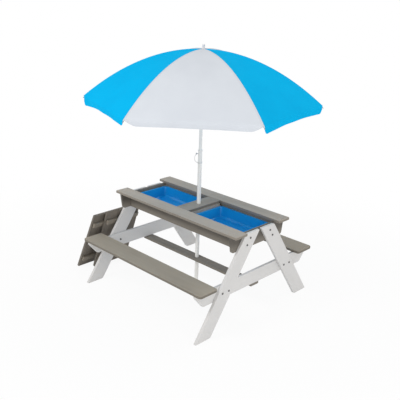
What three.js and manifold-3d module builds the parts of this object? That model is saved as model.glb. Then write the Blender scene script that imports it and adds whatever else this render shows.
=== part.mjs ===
// A child's garden table with two fixed benches, two lift-out play bins under two loose lids,
// and a sunshade whose pole stands in the middle of the table.
// Millimetres, +Z up. The origin is on the ground under the pole, and X runs along the table.

import * as THREE from 'three';
import { mergeVertices } from 'three/addons/utils/BufferGeometryUtils.js';
import Module from 'manifold-3d';

const wasm = await Module();
wasm.setup();

// Fits that every piece shares
const TOUCH_GAP = 0.3;
const CUT_OVERRUN = 2;
const EDGE_ROUND = 1.5;
const EASED_CORNER_STEPS = 1;
const ROUND_CORNER_STEPS = 3;

// Table top
const TABLE_LENGTH = 940;
const TABLE_HEIGHT = 512;
const TOP_WIDTH = 428;
const TOP_BOARD_WIDTH = 87;
const CENTRE_BOARD_WIDTH = 90;
const BOARD_THICKNESS = 14;
const BOARD_CORNER_RADIUS = 5;
const END_OVERHANG = 20;

// Frame under the top
const END_APRON_THICKNESS = 14;
const END_APRON_HEIGHT = 86;
const END_APRON_TOP_INSET = 3;
const END_APRON_TAPER = 13;
const END_APRON_CORNER_RADIUS = 12;
const END_APRON_CORNER_STEPS = 4;
const LONG_APRON_THICKNESS = 14;
const LONG_APRON_HEIGHT = 86;
const LONG_APRON_INSET = 68;
const JOIST_WIDTH = 24;
const JOIST_HEIGHT = 44;
const JOIST_LEDGE = 10;
const LEDGER_WIDTH = 14;
const LEDGER_HEIGHT = 20;

// Legs, crossbeams, benches and the board that ties the two ends together
const LEG_WIDTH = 88;
const LEG_THICKNESS = 16;
const LEG_TOP_GAP = 12;
const FOOT_INNER_SPREAD = 698;
const LEG_CORNER_RADIUS = 5;
const BEAM_HEIGHT = 77;
const BEAM_THICKNESS = 16;
const BEAM_END_INSET = 4;
const BEAM_END_SLANT = 56;
const BEAM_END_HEIGHT = 12;
const BENCH_LENGTH = 940;
const BENCH_WIDTH = 125;
const BENCH_THICKNESS = 14;
const BENCH_HEIGHT = 275;
const BENCH_SPREAD = 904;
const BENCH_CORNER_RADIUS = 18;
const BENCH_CORNER_STEPS = 5;
const STRETCHER_WIDTH = 61;
const STRETCHER_THICKNESS = 14;

// Bolt holes through the legs and what lies behind them
const BOLT_HOLE_RADIUS = 3;
const BOLT_HOLE_SIDES = 8;
const APRON_BOLT_HIGH_DROP = 28;
const APRON_BOLT_LOW_DROP = 62;
const BEAM_BOLT_SPACING = 46;

// Play bins
const BIN_DEPTH = 62;
const BIN_WALL = 2.5;
const BIN_RIM_WIDTH = 9.5;
const BIN_RIM_THICKNESS = 3;
const BIN_DRAFT = 7;
const BIN_CORNER_RADIUS = 16;
const BIN_CORNER_STEPS = 4;
const BIN_SIDE_CLEARANCE = 0.5;
const BIN_END_CLEARANCE = 1;
const BIN_NUT_CLEARANCE = 10;
const BIN_FLOOR_ROUND = 8;

// Lids
const LID_END_CLEARANCE = 1;
const LID_SIDE_CLEARANCE = 2;
const LID_PLANKS = 3;
const LID_PLANK_GAP = 0.8;
const LID_BATTEN_WIDTH = 30;
const LID_BATTEN_THICKNESS = 14;
const LID_BATTEN_SETBACK = 8;
const LID_BATTEN_INSET = 56;
const INNER_LID_LEAN = THREE.MathUtils.degToRad(70);
const OUTER_LID_LEAN = THREE.MathUtils.degToRad(64.5);
const INNER_LID_MIDDLE = -170;
const OUTER_LID_MIDDLE = -239;

// Pole
const LOWER_POLE_RADIUS = 11;
const LOWER_POLE_WALL = 1.4;
const LOWER_POLE_TOP = 812;
const UPPER_POLE_RADIUS = 8.5;
const UPPER_POLE_WALL = 1.2;
const UPPER_POLE_OVERLAP = 212;
const POLE_HOLE_CLEARANCE = 0.8;
const POLE_SIDES = 20;
const FOOT_CAP_HEIGHT = 22;
const FOOT_CAP_FLOOR = 4;
const COLLAR_FLANGE_RADIUS = 12.4;
const COLLAR_FLANGE_HEIGHT = 8;
const COLLAR_SHOULDER_SHARE = 0.7;
const COLLAR_PLUG_DEPTH = 6;
const COLLAR_BORE_CLEARANCE = 0.3;

// Height pin with its handle loop, on the pole's left side
const PIN_BEARING = THREE.MathUtils.degToRad(225);
const PIN_RADIUS = 2.2;
const PIN_SIDES = 8;
const PIN_HOLE_CLEARANCE = 0.4;
const PIN_DROP = 14;
const PIN_STICK_OUT = 8;
const PIN_HEAD_RADIUS = 4.5;
const PIN_HEAD_LENGTH = 5;
const PIN_HEAD_ROUND_SHARE = 0.6;
const HEIGHT_HOLE_PITCH = 50;
const HEIGHT_HOLES = 4;
const TETHER_RADIUS = 1.4;
const TETHER_DROP = 54;
const TETHER_LOW_REACH = 24.7;
const TETHER_HIGH_REACH = 22.8;
const TETHER_END_REACH = 9.5;
const TETHER_BAND_HEIGHT = 8;
const TETHER_BAND_WALL = 1.6;
const TETHER_SIDES = 8;
const TETHER_STEPS = 14;

// Sunshade
const RIB_COUNT = 6;
const FIRST_RIB_BEARING = THREE.MathUtils.degToRad(-79.5);
const CANOPY_APEX_HEIGHT = 1356;
const CANOPY_RADIUS = 632;
const CANOPY_DROP = 268;
const CANOPY_THICKNESS = 2;
const CANOPY_HOLE_RADIUS = 13;
const VALANCE_DEPTH = 42;
const VALANCE_CORNER_RADIUS = 26;
const GORE_ROWS = 12;
const VALANCE_ROWS = 2;
const GORE_COLUMN_SHARES = [-1, -0.97, -0.92, -0.6, -0.2, 0.2, 0.6, 0.92, 0.97, 1];
const RIB_RADIUS = 2;
const RIB_TIP_RADIUS = 3.4;
const RIB_SIDES = 6;
const RIB_STEPS = 16;
const RIB_FABRIC_CLEARANCE = 1.9;
const RIB_END_INSET = 8;
const RIB_TAB_WIDTH = 3;
const RIB_TAB_HEIGHT = 8;
const RIB_TAB_LENGTH = 16;
const RIB_LUG_RADIUS = 4;
const HUB_RADIUS = 17;
const HUB_HEIGHT = 20;
const HUB_TOP_DROP = 10;
const HUB_SIDES = 24;
const HUB_SPIGOT_LENGTH = 22;
const HUB_PIVOT_RADIUS = 12.5;
const HUB_PIVOT_DROP = 20;
const HUB_CORE_RADIUS = 8.3;
const HUB_BOSS_RADIUS = 5;
const HINGE_SLOT_CLEARANCE = 0.8;
const HINGE_PIN_RADIUS = 1.4;
const HINGE_HOLE_CLEARANCE = 0.4;
const HINGE_SIDES = 8;
const FINIAL_DISC_RADIUS = 16;
const FINIAL_DISC_THICKNESS = 2.6;
const FINIAL_NECK_RADIUS = 5;
const FINIAL_BULB_RADIUS = 6.5;
const FINIAL_FOOT_RADIUS = 8;
const FINIAL_TOP_RADIUS = 3.5;
const FINIAL_HEIGHT = 22;
const FINIAL_NECK_SHARE = 0.2;
const FINIAL_BULB_LOW_SHARE = 0.4;
const FINIAL_BULB_HIGH_SHARE = 0.6;
const STRUT_CLIP_REACH = 230;
const STRUT_CLIP_DROP = 6;
const STRUT_WIDTH = 6.4;
const STRUT_THICKNESS = 2.4;
const STRUT_SIDE_GAP = 0.4;
const RUNNER_DROP = 150;
const RUNNER_RADIUS = 17;
const RUNNER_CORE_RADIUS = 10.6;
const RUNNER_BORE_CLEARANCE = 0.4;
const RUNNER_RING_HEIGHT = 12;
const RUNNER_SKIRT_HEIGHT = 20;
const RUNNER_SKIRT_RADIUS = 12.5;

// Heights and places worked out from the sizes above
const TOP_UNDERSIDE = TABLE_HEIGHT - BOARD_THICKNESS;
const LEG_OUTER_FACE = TABLE_LENGTH / 2 - END_OVERHANG;
const LEG_INNER_FACE = LEG_OUTER_FACE - LEG_THICKNESS;
const LONG_APRON_SPREAD = TOP_WIDTH - 2 * LONG_APRON_INSET;
const LONG_APRON_INNER_FACE = LONG_APRON_SPREAD / 2 - LONG_APRON_THICKNESS;
const END_APRON_TOP_WIDTH = TOP_WIDTH - 2 * END_APRON_TOP_INSET;
const END_APRON_BOTTOM_WIDTH = END_APRON_TOP_WIDTH - 2 * END_APRON_TAPER;
const WELL_HALF_WIDTH = TOP_WIDTH / 2 - TOP_BOARD_WIDTH;
const BEAM_TOP = BENCH_HEIGHT - BENCH_THICKNESS;
const BEAM_BOTTOM = BEAM_TOP - BEAM_HEIGHT;
const BEAM_TOP_LENGTH = BENCH_SPREAD - 2 * BEAM_END_INSET;
const BEAM_BOTTOM_LENGTH = BEAM_TOP_LENGTH - 2 * BEAM_END_SLANT;
const JOIST_OUTER_FACE = CENTRE_BOARD_WIDTH / 2 + JOIST_LEDGE;
const RIM_TOP = TOP_UNDERSIDE - LID_BATTEN_THICKNESS;
const BIN_START = JOIST_OUTER_FACE + BIN_END_CLEARANCE;
const BIN_LENGTH = LEG_INNER_FACE - END_APRON_THICKNESS - BIN_NUT_CLEARANCE - BIN_START;
const LEG_SLOPE = (FOOT_INNER_SPREAD - LEG_TOP_GAP) / 2 / TOP_UNDERSIDE;
const LEG_LEVEL_WIDTH = LEG_WIDTH / Math.cos(Math.atan(LEG_SLOPE));
const LID_LENGTH = TABLE_LENGTH / 2 - CENTRE_BOARD_WIDTH / 2 - LID_END_CLEARANCE;
const LID_WIDTH = 2 * (WELL_HALF_WIDTH - LID_SIDE_CLEARANCE);
const LID_PLANK_WIDTH = (LID_WIDTH - (LID_PLANKS - 1) * LID_PLANK_GAP) / LID_PLANKS;
const PIN_HEIGHT = LOWER_POLE_TOP - PIN_DROP;
const HUB_TOP = CANOPY_APEX_HEIGHT - HUB_TOP_DROP;
const HUB_PIVOT_HEIGHT = CANOPY_APEX_HEIGHT - HUB_PIVOT_DROP;
const RUNNER_PIVOT_HEIGHT = HUB_PIVOT_HEIGHT - RUNNER_DROP;

// Paints, plastics and fabrics
const finish = (color, roughness, metalness = 0) =>
  new THREE.MeshStandardMaterial({ color, roughness, metalness });
const greyStain = finish(0x9a958c, 0.7);
const whitePaint = finish(0xe3e2df, 0.5);
const darkStain = finish(0x6f6a62, 0.75);
const bluePlastic = finish(0x0a66c4, 0.3);
const whitePlastic = finish(0xe9e9e9, 0.4);
const whiteSteel = finish(0xdedee0, 0.35, 0.3);
const blueCloth = finish(0x1ba6e3, 0.85);
const whiteCloth = finish(0xe6e8ef, 0.85);
const zincSteel = finish(0xb9bcc0, 0.4, 0.9);

const model = new THREE.Group();

// Adds one named piece to the model or to a group of it, and returns its mesh.
function addPiece(name, geometry, material, parent = model) {
  const mesh = new THREE.Mesh(geometry, material);
  mesh.name = name;
  parent.add(mesh);
  return mesh;
}

// Turns a closed geometry into a solid that can be joined and cut.
function toSolid(geometry) {
  const bare = geometry.clone();
  bare.deleteAttribute('normal');
  bare.deleteAttribute('uv');
  const merged = mergeVertices(bare);
  return new wasm.Manifold(new wasm.Mesh({
    numProp: 3,
    vertProperties: Float32Array.from(merged.attributes.position.array),
    triVerts: Uint32Array.from(merged.index.array),
  }));
}

// Turns a solid back into a geometry.
function toGeometry(solid) {
  const mesh = solid.getMesh();
  const geometry = new THREE.BufferGeometry();
  geometry.setAttribute('position', new THREE.BufferAttribute(Float32Array.from(mesh.vertProperties), 3));
  geometry.setIndex(new THREE.BufferAttribute(Uint32Array.from(mesh.triVerts), 1));
  geometry.computeVertexNormals();
  return geometry;
}

// Cuts each of the tools out of a body.
function cut(body, tools) {
  let solid = toSolid(body);
  for (const tool of tools) {
    solid = solid.subtract(toSolid(tool));
  }
  return toGeometry(solid);
}

// Joins the parts to a body.
function join(body, parts) {
  let solid = toSolid(body);
  for (const part of parts) {
    solid = solid.add(toSolid(part));
  }
  return toGeometry(solid);
}

// A closed outline with its corners rounded.
function roundedOutline(corners, radius) {
  const shape = new THREE.Shape();
  const count = corners.length;
  for (let i = 0; i < count; i += 1) {
    const here = new THREE.Vector2(...corners[i]);
    const before = new THREE.Vector2(...corners[(i + count - 1) % count]);
    const after = new THREE.Vector2(...corners[(i + 1) % count]);
    const reach = Math.min(radius, here.distanceTo(before) / 2, here.distanceTo(after) / 2);
    const start = here.clone().add(before.sub(here).setLength(reach));
    const end = here.clone().add(after.sub(here).setLength(reach));
    if (i === 0) {
      shape.moveTo(start.x, start.y);
    } else {
      shape.lineTo(start.x, start.y);
    }
    shape.quadraticCurveTo(here.x, here.y, end.x, end.y);
  }
  shape.closePath();
  return shape;
}

// The four corners of a rectangle centred on a point.
function rectangle(length, width, x = 0, y = 0) {
  const a = length / 2;
  const b = width / 2;
  return [[x - a, y - b], [x + a, y - b], [x + a, y + b], [x - a, y + b]];
}

// A board cut to an outline, from z = 0 to its thickness, with its face edges eased.
function board(corners, thickness, radius, curveSegments = ROUND_CORNER_STEPS) {
  const geometry = new THREE.ExtrudeGeometry(roundedOutline(corners, radius), {
    depth: thickness - 2 * EDGE_ROUND,
    bevelEnabled: true,
    bevelThickness: EDGE_ROUND,
    bevelSize: EDGE_ROUND,
    bevelOffset: -EDGE_ROUND,
    bevelSegments: 1,
    curveSegments,
  });
  return geometry.translate(0, 0, EDGE_ROUND);
}

// Stands a flat outline up: its x runs along Y, its y runs up, and its thickness along +X.
function standAcross(geometry) {
  const turn = new THREE.Matrix4().makeBasis(
    new THREE.Vector3(0, 1, 0), new THREE.Vector3(0, 0, 1), new THREE.Vector3(1, 0, 0));
  return geometry.applyMatrix4(turn);
}

// A solid of revolution about Z from points [radius, height].
function turned(points, sides) {
  const profile = points.map(([radius, height]) => new THREE.Vector2(radius, height));
  return new THREE.LatheGeometry(profile, sides).rotateX(Math.PI / 2);
}

// An upright rod from one height to another.
function rod(radius, low, high, sides) {
  return turned([[0, low], [radius, low], [radius, high], [0, high]], sides);
}

// A rod along X, for a bolt hole.
function rodAlongX(radius, low, high, sides) {
  return rod(radius, low, high, sides).rotateY(Math.PI / 2);
}

// A rod along Y, for a hinge pin or its hole.
function rodAlongY(radius, low, high, sides) {
  return rod(radius, low, high, sides).rotateX(-Math.PI / 2);
}

// A box between two corners.
function boxBetween(low, high) {
  const size = high.map((value, i) => value - low[i]);
  const middle = high.map((value, i) => (value + low[i]) / 2);
  return new THREE.BoxGeometry(...size).translate(...middle);
}

// A closed skin over rings that all have the same number of points, with both ends capped.
function loft(rings) {
  const count = rings[0].length;
  const points = rings.flat();
  const faces = [];
  for (let ring = 0; ring + 1 < rings.length; ring += 1) {
    for (let i = 0; i < count; i += 1) {
      const a = ring * count + i;
      const b = ring * count + (i + 1) % count;
      faces.push(a, b, b + count, a, b + count, a + count);
    }
  }
  const capEnd = (ring, flip) => {
    const middle = new THREE.Vector3();
    rings[ring].forEach((point) => middle.add(new THREE.Vector3(...point)));
    middle.divideScalar(count);
    points.push(middle.toArray());
    for (let i = 0; i < count; i += 1) {
      const a = ring * count + i;
      const b = ring * count + (i + 1) % count;
      faces.push(...(flip ? [b, a, points.length - 1] : [a, b, points.length - 1]));
    }
  };
  capEnd(0, true);
  capEnd(rings.length - 1, false);
  const geometry = new THREE.BufferGeometry();
  geometry.setAttribute('position', new THREE.Float32BufferAttribute(points.flat(), 3));
  geometry.setIndex(faces);
  geometry.computeVertexNormals();
  return geometry;
}

// Where the middle of a leg lies at a height, measured from the table's middle line.
function legMiddle(height) {
  return LEG_TOP_GAP / 2 + LEG_SLOPE * (TOP_UNDERSIDE - height) + LEG_LEVEL_WIDTH / 2;
}

// The bolts of one leg: where each lies across and up.
function legBolts() {
  const high = TOP_UNDERSIDE - APRON_BOLT_HIGH_DROP;
  const low = TOP_UNDERSIDE - APRON_BOLT_LOW_DROP;
  const beamMiddle = (BEAM_TOP + BEAM_BOTTOM) / 2;
  return [
    { across: legMiddle(high), up: high },
    { across: legMiddle(low), up: low },
    { across: legMiddle(beamMiddle) - BEAM_BOLT_SPACING / 2, up: beamMiddle },
    { across: legMiddle(beamMiddle) + BEAM_BOLT_SPACING / 2, up: beamMiddle },
  ];
}

// The holes that the bolts of one end pass through, from the outer face inwards.
function boltHoles(end) {
  const reach = LEG_THICKNESS + BEAM_THICKNESS + CUT_OVERRUN;
  const start = end * LEG_OUTER_FACE;
  const holes = [];
  for (const side of [-1, 1]) {
    for (const { across, up } of legBolts()) {
      const low = Math.min(start + end * CUT_OVERRUN, start - end * reach);
      const high = Math.max(start + end * CUT_OVERRUN, start - end * reach);
      holes.push(rodAlongX(BOLT_HOLE_RADIUS, low, high, BOLT_HOLE_SIDES).translate(0, side * across, up));
    }
  }
  return holes;
}

// Only the holes that pass through a box's height and side are cut, so that a cut is never empty.
function holesWithin(holes, lowAcross, highAcross, lowUp, highUp) {
  return holes.filter((hole) => {
    hole.computeBoundingBox();
    const middle = hole.boundingBox.getCenter(new THREE.Vector3());
    return middle.y > lowAcross && middle.y < highAcross && middle.z > lowUp && middle.z < highUp;
  });
}

// Top: a board along each side and one across the middle, with the pole's hole.
function buildTop() {
  for (const [name, side] of [['front', -1], ['back', 1]]) {
    const middle = side * (TOP_WIDTH - TOP_BOARD_WIDTH) / 2;
    const corners = rectangle(TABLE_LENGTH, TOP_BOARD_WIDTH, 0, middle);
    const body = board(corners, BOARD_THICKNESS, BOARD_CORNER_RADIUS);
    addPiece(`${name}_top_board`, body, greyStain).position.z = TOP_UNDERSIDE;
  }
  const length = 2 * (WELL_HALF_WIDTH - TOUCH_GAP);
  const body = board(rectangle(CENTRE_BOARD_WIDTH, length), BOARD_THICKNESS, EDGE_ROUND,
    EASED_CORNER_STEPS);
  const hole = rod(LOWER_POLE_RADIUS + POLE_HOLE_CLEARANCE, -CUT_OVERRUN, BOARD_THICKNESS + CUT_OVERRUN,
    POLE_SIDES);
  const mesh = addPiece('centre_board', cut(body, [hole]), greyStain);
  mesh.position.z = TOP_UNDERSIDE;
}

// Frame: aprons round the underside, ledgers under the bin rims, joists under the centre board.
function buildFrame() {
  const top = TOP_UNDERSIDE - TOUCH_GAP;
  for (const [name, end] of [['left', -1], ['right', 1]]) {
    const half = END_APRON_TOP_WIDTH / 2;
    const low = END_APRON_BOTTOM_WIDTH / 2;
    const bottom = top - END_APRON_HEIGHT;
    const shape = new THREE.Shape();
    shape.moveTo(-half, top);
    shape.lineTo(-low - (half - low) * (END_APRON_CORNER_RADIUS / END_APRON_HEIGHT),
      bottom + END_APRON_CORNER_RADIUS);
    shape.quadraticCurveTo(-low, bottom, -low + END_APRON_CORNER_RADIUS, bottom);
    shape.lineTo(low - END_APRON_CORNER_RADIUS, bottom);
    shape.quadraticCurveTo(low, bottom,
      low + (half - low) * (END_APRON_CORNER_RADIUS / END_APRON_HEIGHT), bottom + END_APRON_CORNER_RADIUS);
    shape.lineTo(half, top);
    shape.closePath();
    const body = standAcross(new THREE.ExtrudeGeometry(shape, {
      depth: END_APRON_THICKNESS - TOUCH_GAP,
      bevelEnabled: false,
      curveSegments: END_APRON_CORNER_STEPS,
    }));
    const face = LEG_INNER_FACE - TOUCH_GAP;
    body.translate(end > 0 ? face - (END_APRON_THICKNESS - TOUCH_GAP) : -face, 0, 0);
    const holes = holesWithin(boltHoles(end), -half, half, bottom, top);
    addPiece(`${name}_end_apron`, cut(body, holes), greyStain);
  }
  const clear = LEG_INNER_FACE - END_APRON_THICKNESS - TOUCH_GAP;
  for (const [name, side] of [['front', -1], ['back', 1]]) {
    const middle = side * (LONG_APRON_SPREAD - LONG_APRON_THICKNESS) / 2;
    const body = board(rectangle(2 * clear, LONG_APRON_HEIGHT), LONG_APRON_THICKNESS, EDGE_ROUND,
      EASED_CORNER_STEPS);
    const mesh = addPiece(`${name}_apron`, standAlongFront(body), greyStain);
    mesh.position.set(0, middle, top - LONG_APRON_HEIGHT / 2);
    const strip = new THREE.BoxGeometry(2 * clear, LEDGER_WIDTH, LEDGER_HEIGHT);
    const across = LONG_APRON_INNER_FACE - TOUCH_GAP - LEDGER_WIDTH / 2;
    addPiece(`${name}_ledger`, strip, darkStain)
      .position.set(0, side * across, RIM_TOP - BIN_RIM_THICKNESS - TOUCH_GAP - LEDGER_HEIGHT / 2);
  }
  const span = 2 * (LONG_APRON_INNER_FACE - LEDGER_WIDTH - 2 * TOUCH_GAP);
  for (const [name, end] of [['left', -1], ['right', 1]]) {
    const body = new THREE.BoxGeometry(JOIST_WIDTH, span, JOIST_HEIGHT);
    const mesh = addPiece(`${name}_joist`, body, darkStain);
    mesh.position.set(end * (JOIST_OUTER_FACE - JOIST_WIDTH / 2), 0, top - JOIST_HEIGHT / 2);
  }
}

// Stands a board up along X with its faces to the front and back, centred on the origin.
function standAlongFront(geometry) {
  geometry.computeBoundingBox();
  const middle = geometry.boundingBox.getCenter(new THREE.Vector3());
  return geometry.translate(-middle.x, -middle.y, -middle.z).rotateX(Math.PI / 2);
}

// Legs: one board each, cut level at the ground and under the top, bolted outside the aprons.
function buildLegs() {
  const top = TOP_UNDERSIDE - TOUCH_GAP;
  const innerTop = LEG_TOP_GAP / 2 + LEG_SLOPE * TOUCH_GAP;
  const innerFoot = FOOT_INNER_SPREAD / 2;
  for (const [hand, end] of [['left', -1], ['right', 1]]) {
    for (const [name, side] of [['front', -1], ['back', 1]]) {
      const corners = [
        [side * innerFoot, 0],
        [side * (innerFoot + LEG_LEVEL_WIDTH), 0],
        [side * (innerTop + LEG_LEVEL_WIDTH), top],
        [side * innerTop, top],
      ];
      if (side < 0) {
        corners.reverse();
      }
      const body = standAcross(board(corners, LEG_THICKNESS, LEG_CORNER_RADIUS, EASED_CORNER_STEPS));
      body.translate(end > 0 ? LEG_INNER_FACE : -LEG_OUTER_FACE, 0, 0);
      const low = side > 0 ? 0 : -TOP_WIDTH;
      addPiece(`${hand}_${name}_leg`, cut(body, holesWithin(boltHoles(end), low, low + TOP_WIDTH, 0, top)),
        whitePaint);
    }
  }
}

// Crossbeams inside the legs, with slanting ends, and the benches that lie on them.
function buildBeamsAndBenches() {
  const top = BEAM_TOP - TOUCH_GAP;
  const corners = [
    [-BEAM_BOTTOM_LENGTH / 2, BEAM_BOTTOM],
    [BEAM_BOTTOM_LENGTH / 2, BEAM_BOTTOM],
    [BEAM_TOP_LENGTH / 2, top - BEAM_END_HEIGHT],
    [BEAM_TOP_LENGTH / 2, top],
    [-BEAM_TOP_LENGTH / 2, top],
    [-BEAM_TOP_LENGTH / 2, top - BEAM_END_HEIGHT],
  ];
  for (const [name, end] of [['left', -1], ['right', 1]]) {
    const body = standAcross(board(corners, BEAM_THICKNESS, BOARD_CORNER_RADIUS, EASED_CORNER_STEPS));
    const face = LEG_INNER_FACE - TOUCH_GAP;
    body.translate(end > 0 ? face - BEAM_THICKNESS : -face, 0, 0);
    const half = BEAM_TOP_LENGTH / 2;
    addPiece(`${name}_crossbeam`, cut(body, holesWithin(boltHoles(end), -half, half, BEAM_BOTTOM, top)),
      whitePaint);
  }
  for (const [name, side] of [['front', -1], ['back', 1]]) {
    const middle = side * (BENCH_SPREAD - BENCH_WIDTH) / 2;
    const seat = board(rectangle(BENCH_LENGTH, BENCH_WIDTH, 0, middle), BENCH_THICKNESS,
      BENCH_CORNER_RADIUS, BENCH_CORNER_STEPS);
    addPiece(`${name}_bench`, seat, greyStain).position.z = BEAM_TOP;
  }
  const length = 2 * (LEG_INNER_FACE - TOUCH_GAP);
  const tie = board(rectangle(length, STRETCHER_WIDTH), STRETCHER_THICKNESS, EDGE_ROUND,
    EASED_CORNER_STEPS);
  const hole = rod(LOWER_POLE_RADIUS + POLE_HOLE_CLEARANCE, -CUT_OVERRUN, STRETCHER_THICKNESS + CUT_OVERRUN,
    POLE_SIDES);
  const mesh = addPiece('stretcher_board', cut(tie, [hole]), greyStain);
  mesh.position.z = BEAM_BOTTOM - TOUCH_GAP - STRETCHER_THICKNESS;
}

// One ring of a bin: a rectangle with round corners at a height.
function binRing(length, width, radius, height) {
  const points = [];
  const middles = [[1, 1], [-1, 1], [-1, -1], [1, -1]];
  middles.forEach(([sx, sy], corner) => {
    for (let i = 0; i <= BIN_CORNER_STEPS; i += 1) {
      const angle = (corner + i / BIN_CORNER_STEPS) * Math.PI / 2;
      points.push([
        sx * (length / 2 - radius) + radius * Math.cos(angle),
        sy * (width / 2 - radius) + radius * Math.sin(angle),
        height,
      ]);
    }
  });
  return points;
}

// Bins: moulded tubs with a flat rim, tapering walls and a rounded floor edge.
function buildBins() {
  const width = 2 * (WELL_HALF_WIDTH - BIN_SIDE_CLEARANCE);
  const bodyLength = BIN_LENGTH - 2 * BIN_RIM_WIDTH;
  const bodyWidth = width - 2 * BIN_RIM_WIDTH;
  const inset = (amount) => [bodyLength - 2 * amount, bodyWidth - 2 * amount, BIN_CORNER_RADIUS];
  const rimRadius = BIN_CORNER_RADIUS + BIN_RIM_WIDTH / 2;
  const floor = BIN_WALL - BIN_DEPTH;
  const rings = [
    binRing(...inset(BIN_DRAFT + BIN_FLOOR_ROUND), -BIN_DEPTH),
    binRing(...inset(BIN_DRAFT), -BIN_DEPTH + BIN_FLOOR_ROUND),
    binRing(...inset(0), -BIN_RIM_THICKNESS),
    binRing(BIN_LENGTH, width, rimRadius, -BIN_RIM_THICKNESS),
    binRing(BIN_LENGTH, width, rimRadius, 0),
    binRing(...inset(BIN_WALL), 0),
    binRing(...inset(BIN_DRAFT + BIN_WALL), floor + BIN_FLOOR_ROUND),
    binRing(...inset(BIN_DRAFT + BIN_WALL + BIN_FLOOR_ROUND), floor),
  ];
  for (const [name, end] of [['left', -1], ['right', 1]]) {
    const mesh = addPiece(`${name}_bin`, loft(rings), bluePlastic);
    mesh.position.set(end * (BIN_START + BIN_LENGTH / 2), 0, RIM_TOP);
  }
}

// One lid leaning against what stands in front of it: planks side by side on two battens.
function buildLid(name, lean, foot, middle) {
  const group = new THREE.Group();
  group.position.set(foot, middle, -EDGE_ROUND * Math.cos(lean));
  group.rotation.y = -lean;
  model.add(group);
  const pitch = LID_PLANK_WIDTH + LID_PLANK_GAP;
  for (let i = 0; i < LID_PLANKS; i += 1) {
    const across = (i - (LID_PLANKS - 1) / 2) * pitch;
    const corners = rectangle(LID_LENGTH, LID_PLANK_WIDTH, LID_LENGTH / 2, across);
    const plank = board(corners, BOARD_THICKNESS, EDGE_ROUND, EASED_CORNER_STEPS);
    addPiece(`${name}_lid_plank_${i + 1}`, plank, darkStain, group);
  }
  const length = LID_WIDTH - 2 * LID_BATTEN_SETBACK;
  for (const [place, along] of [['lower', LID_BATTEN_INSET], ['upper', LID_LENGTH - LID_BATTEN_INSET]]) {
    const shift = place === 'lower' ? LID_BATTEN_WIDTH / 2 : -LID_BATTEN_WIDTH / 2;
    const batten = board(rectangle(LID_BATTEN_WIDTH, length), LID_BATTEN_THICKNESS, EDGE_ROUND,
      EASED_CORNER_STEPS);
    const mesh = addPiece(`${name}_lid_${place}_batten`, batten, darkStain, group);
    mesh.position.set(along + shift, 0, -LID_BATTEN_THICKNESS - TOUCH_GAP);
  }
}

// Where a leaning lid's foot stands, so that a point of it (along the lid, out of its face)
// comes to a given X.
function lidFoot(lean, along, out, reachedX) {
  return reachedX - along * Math.cos(lean) - out * Math.sin(lean);
}

// Lids: the inner one leans on the legs, and the outer one leans on the inner one.
function buildLids() {
  const inner = INNER_LID_LEAN;
  const innerFoot = lidFoot(inner, LID_LENGTH - EDGE_ROUND, 0, -LEG_OUTER_FACE - TOUCH_GAP);
  buildLid('inner', inner, innerFoot, INNER_LID_MIDDLE);
  const outer = OUTER_LID_LEAN;
  const along = LID_LENGTH - LID_BATTEN_INSET;
  const out = LID_BATTEN_THICKNESS + TOUCH_GAP;
  const height = along * Math.sin(outer) - out * Math.cos(outer);
  const backAlong = (height - BOARD_THICKNESS * Math.cos(inner)) / Math.sin(inner);
  const backX = innerFoot + backAlong * Math.cos(inner) - BOARD_THICKNESS * Math.sin(inner);
  buildLid('outer', outer, lidFoot(outer, along, out, backX - TOUCH_GAP), OUTER_LID_MIDDLE);
}

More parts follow.
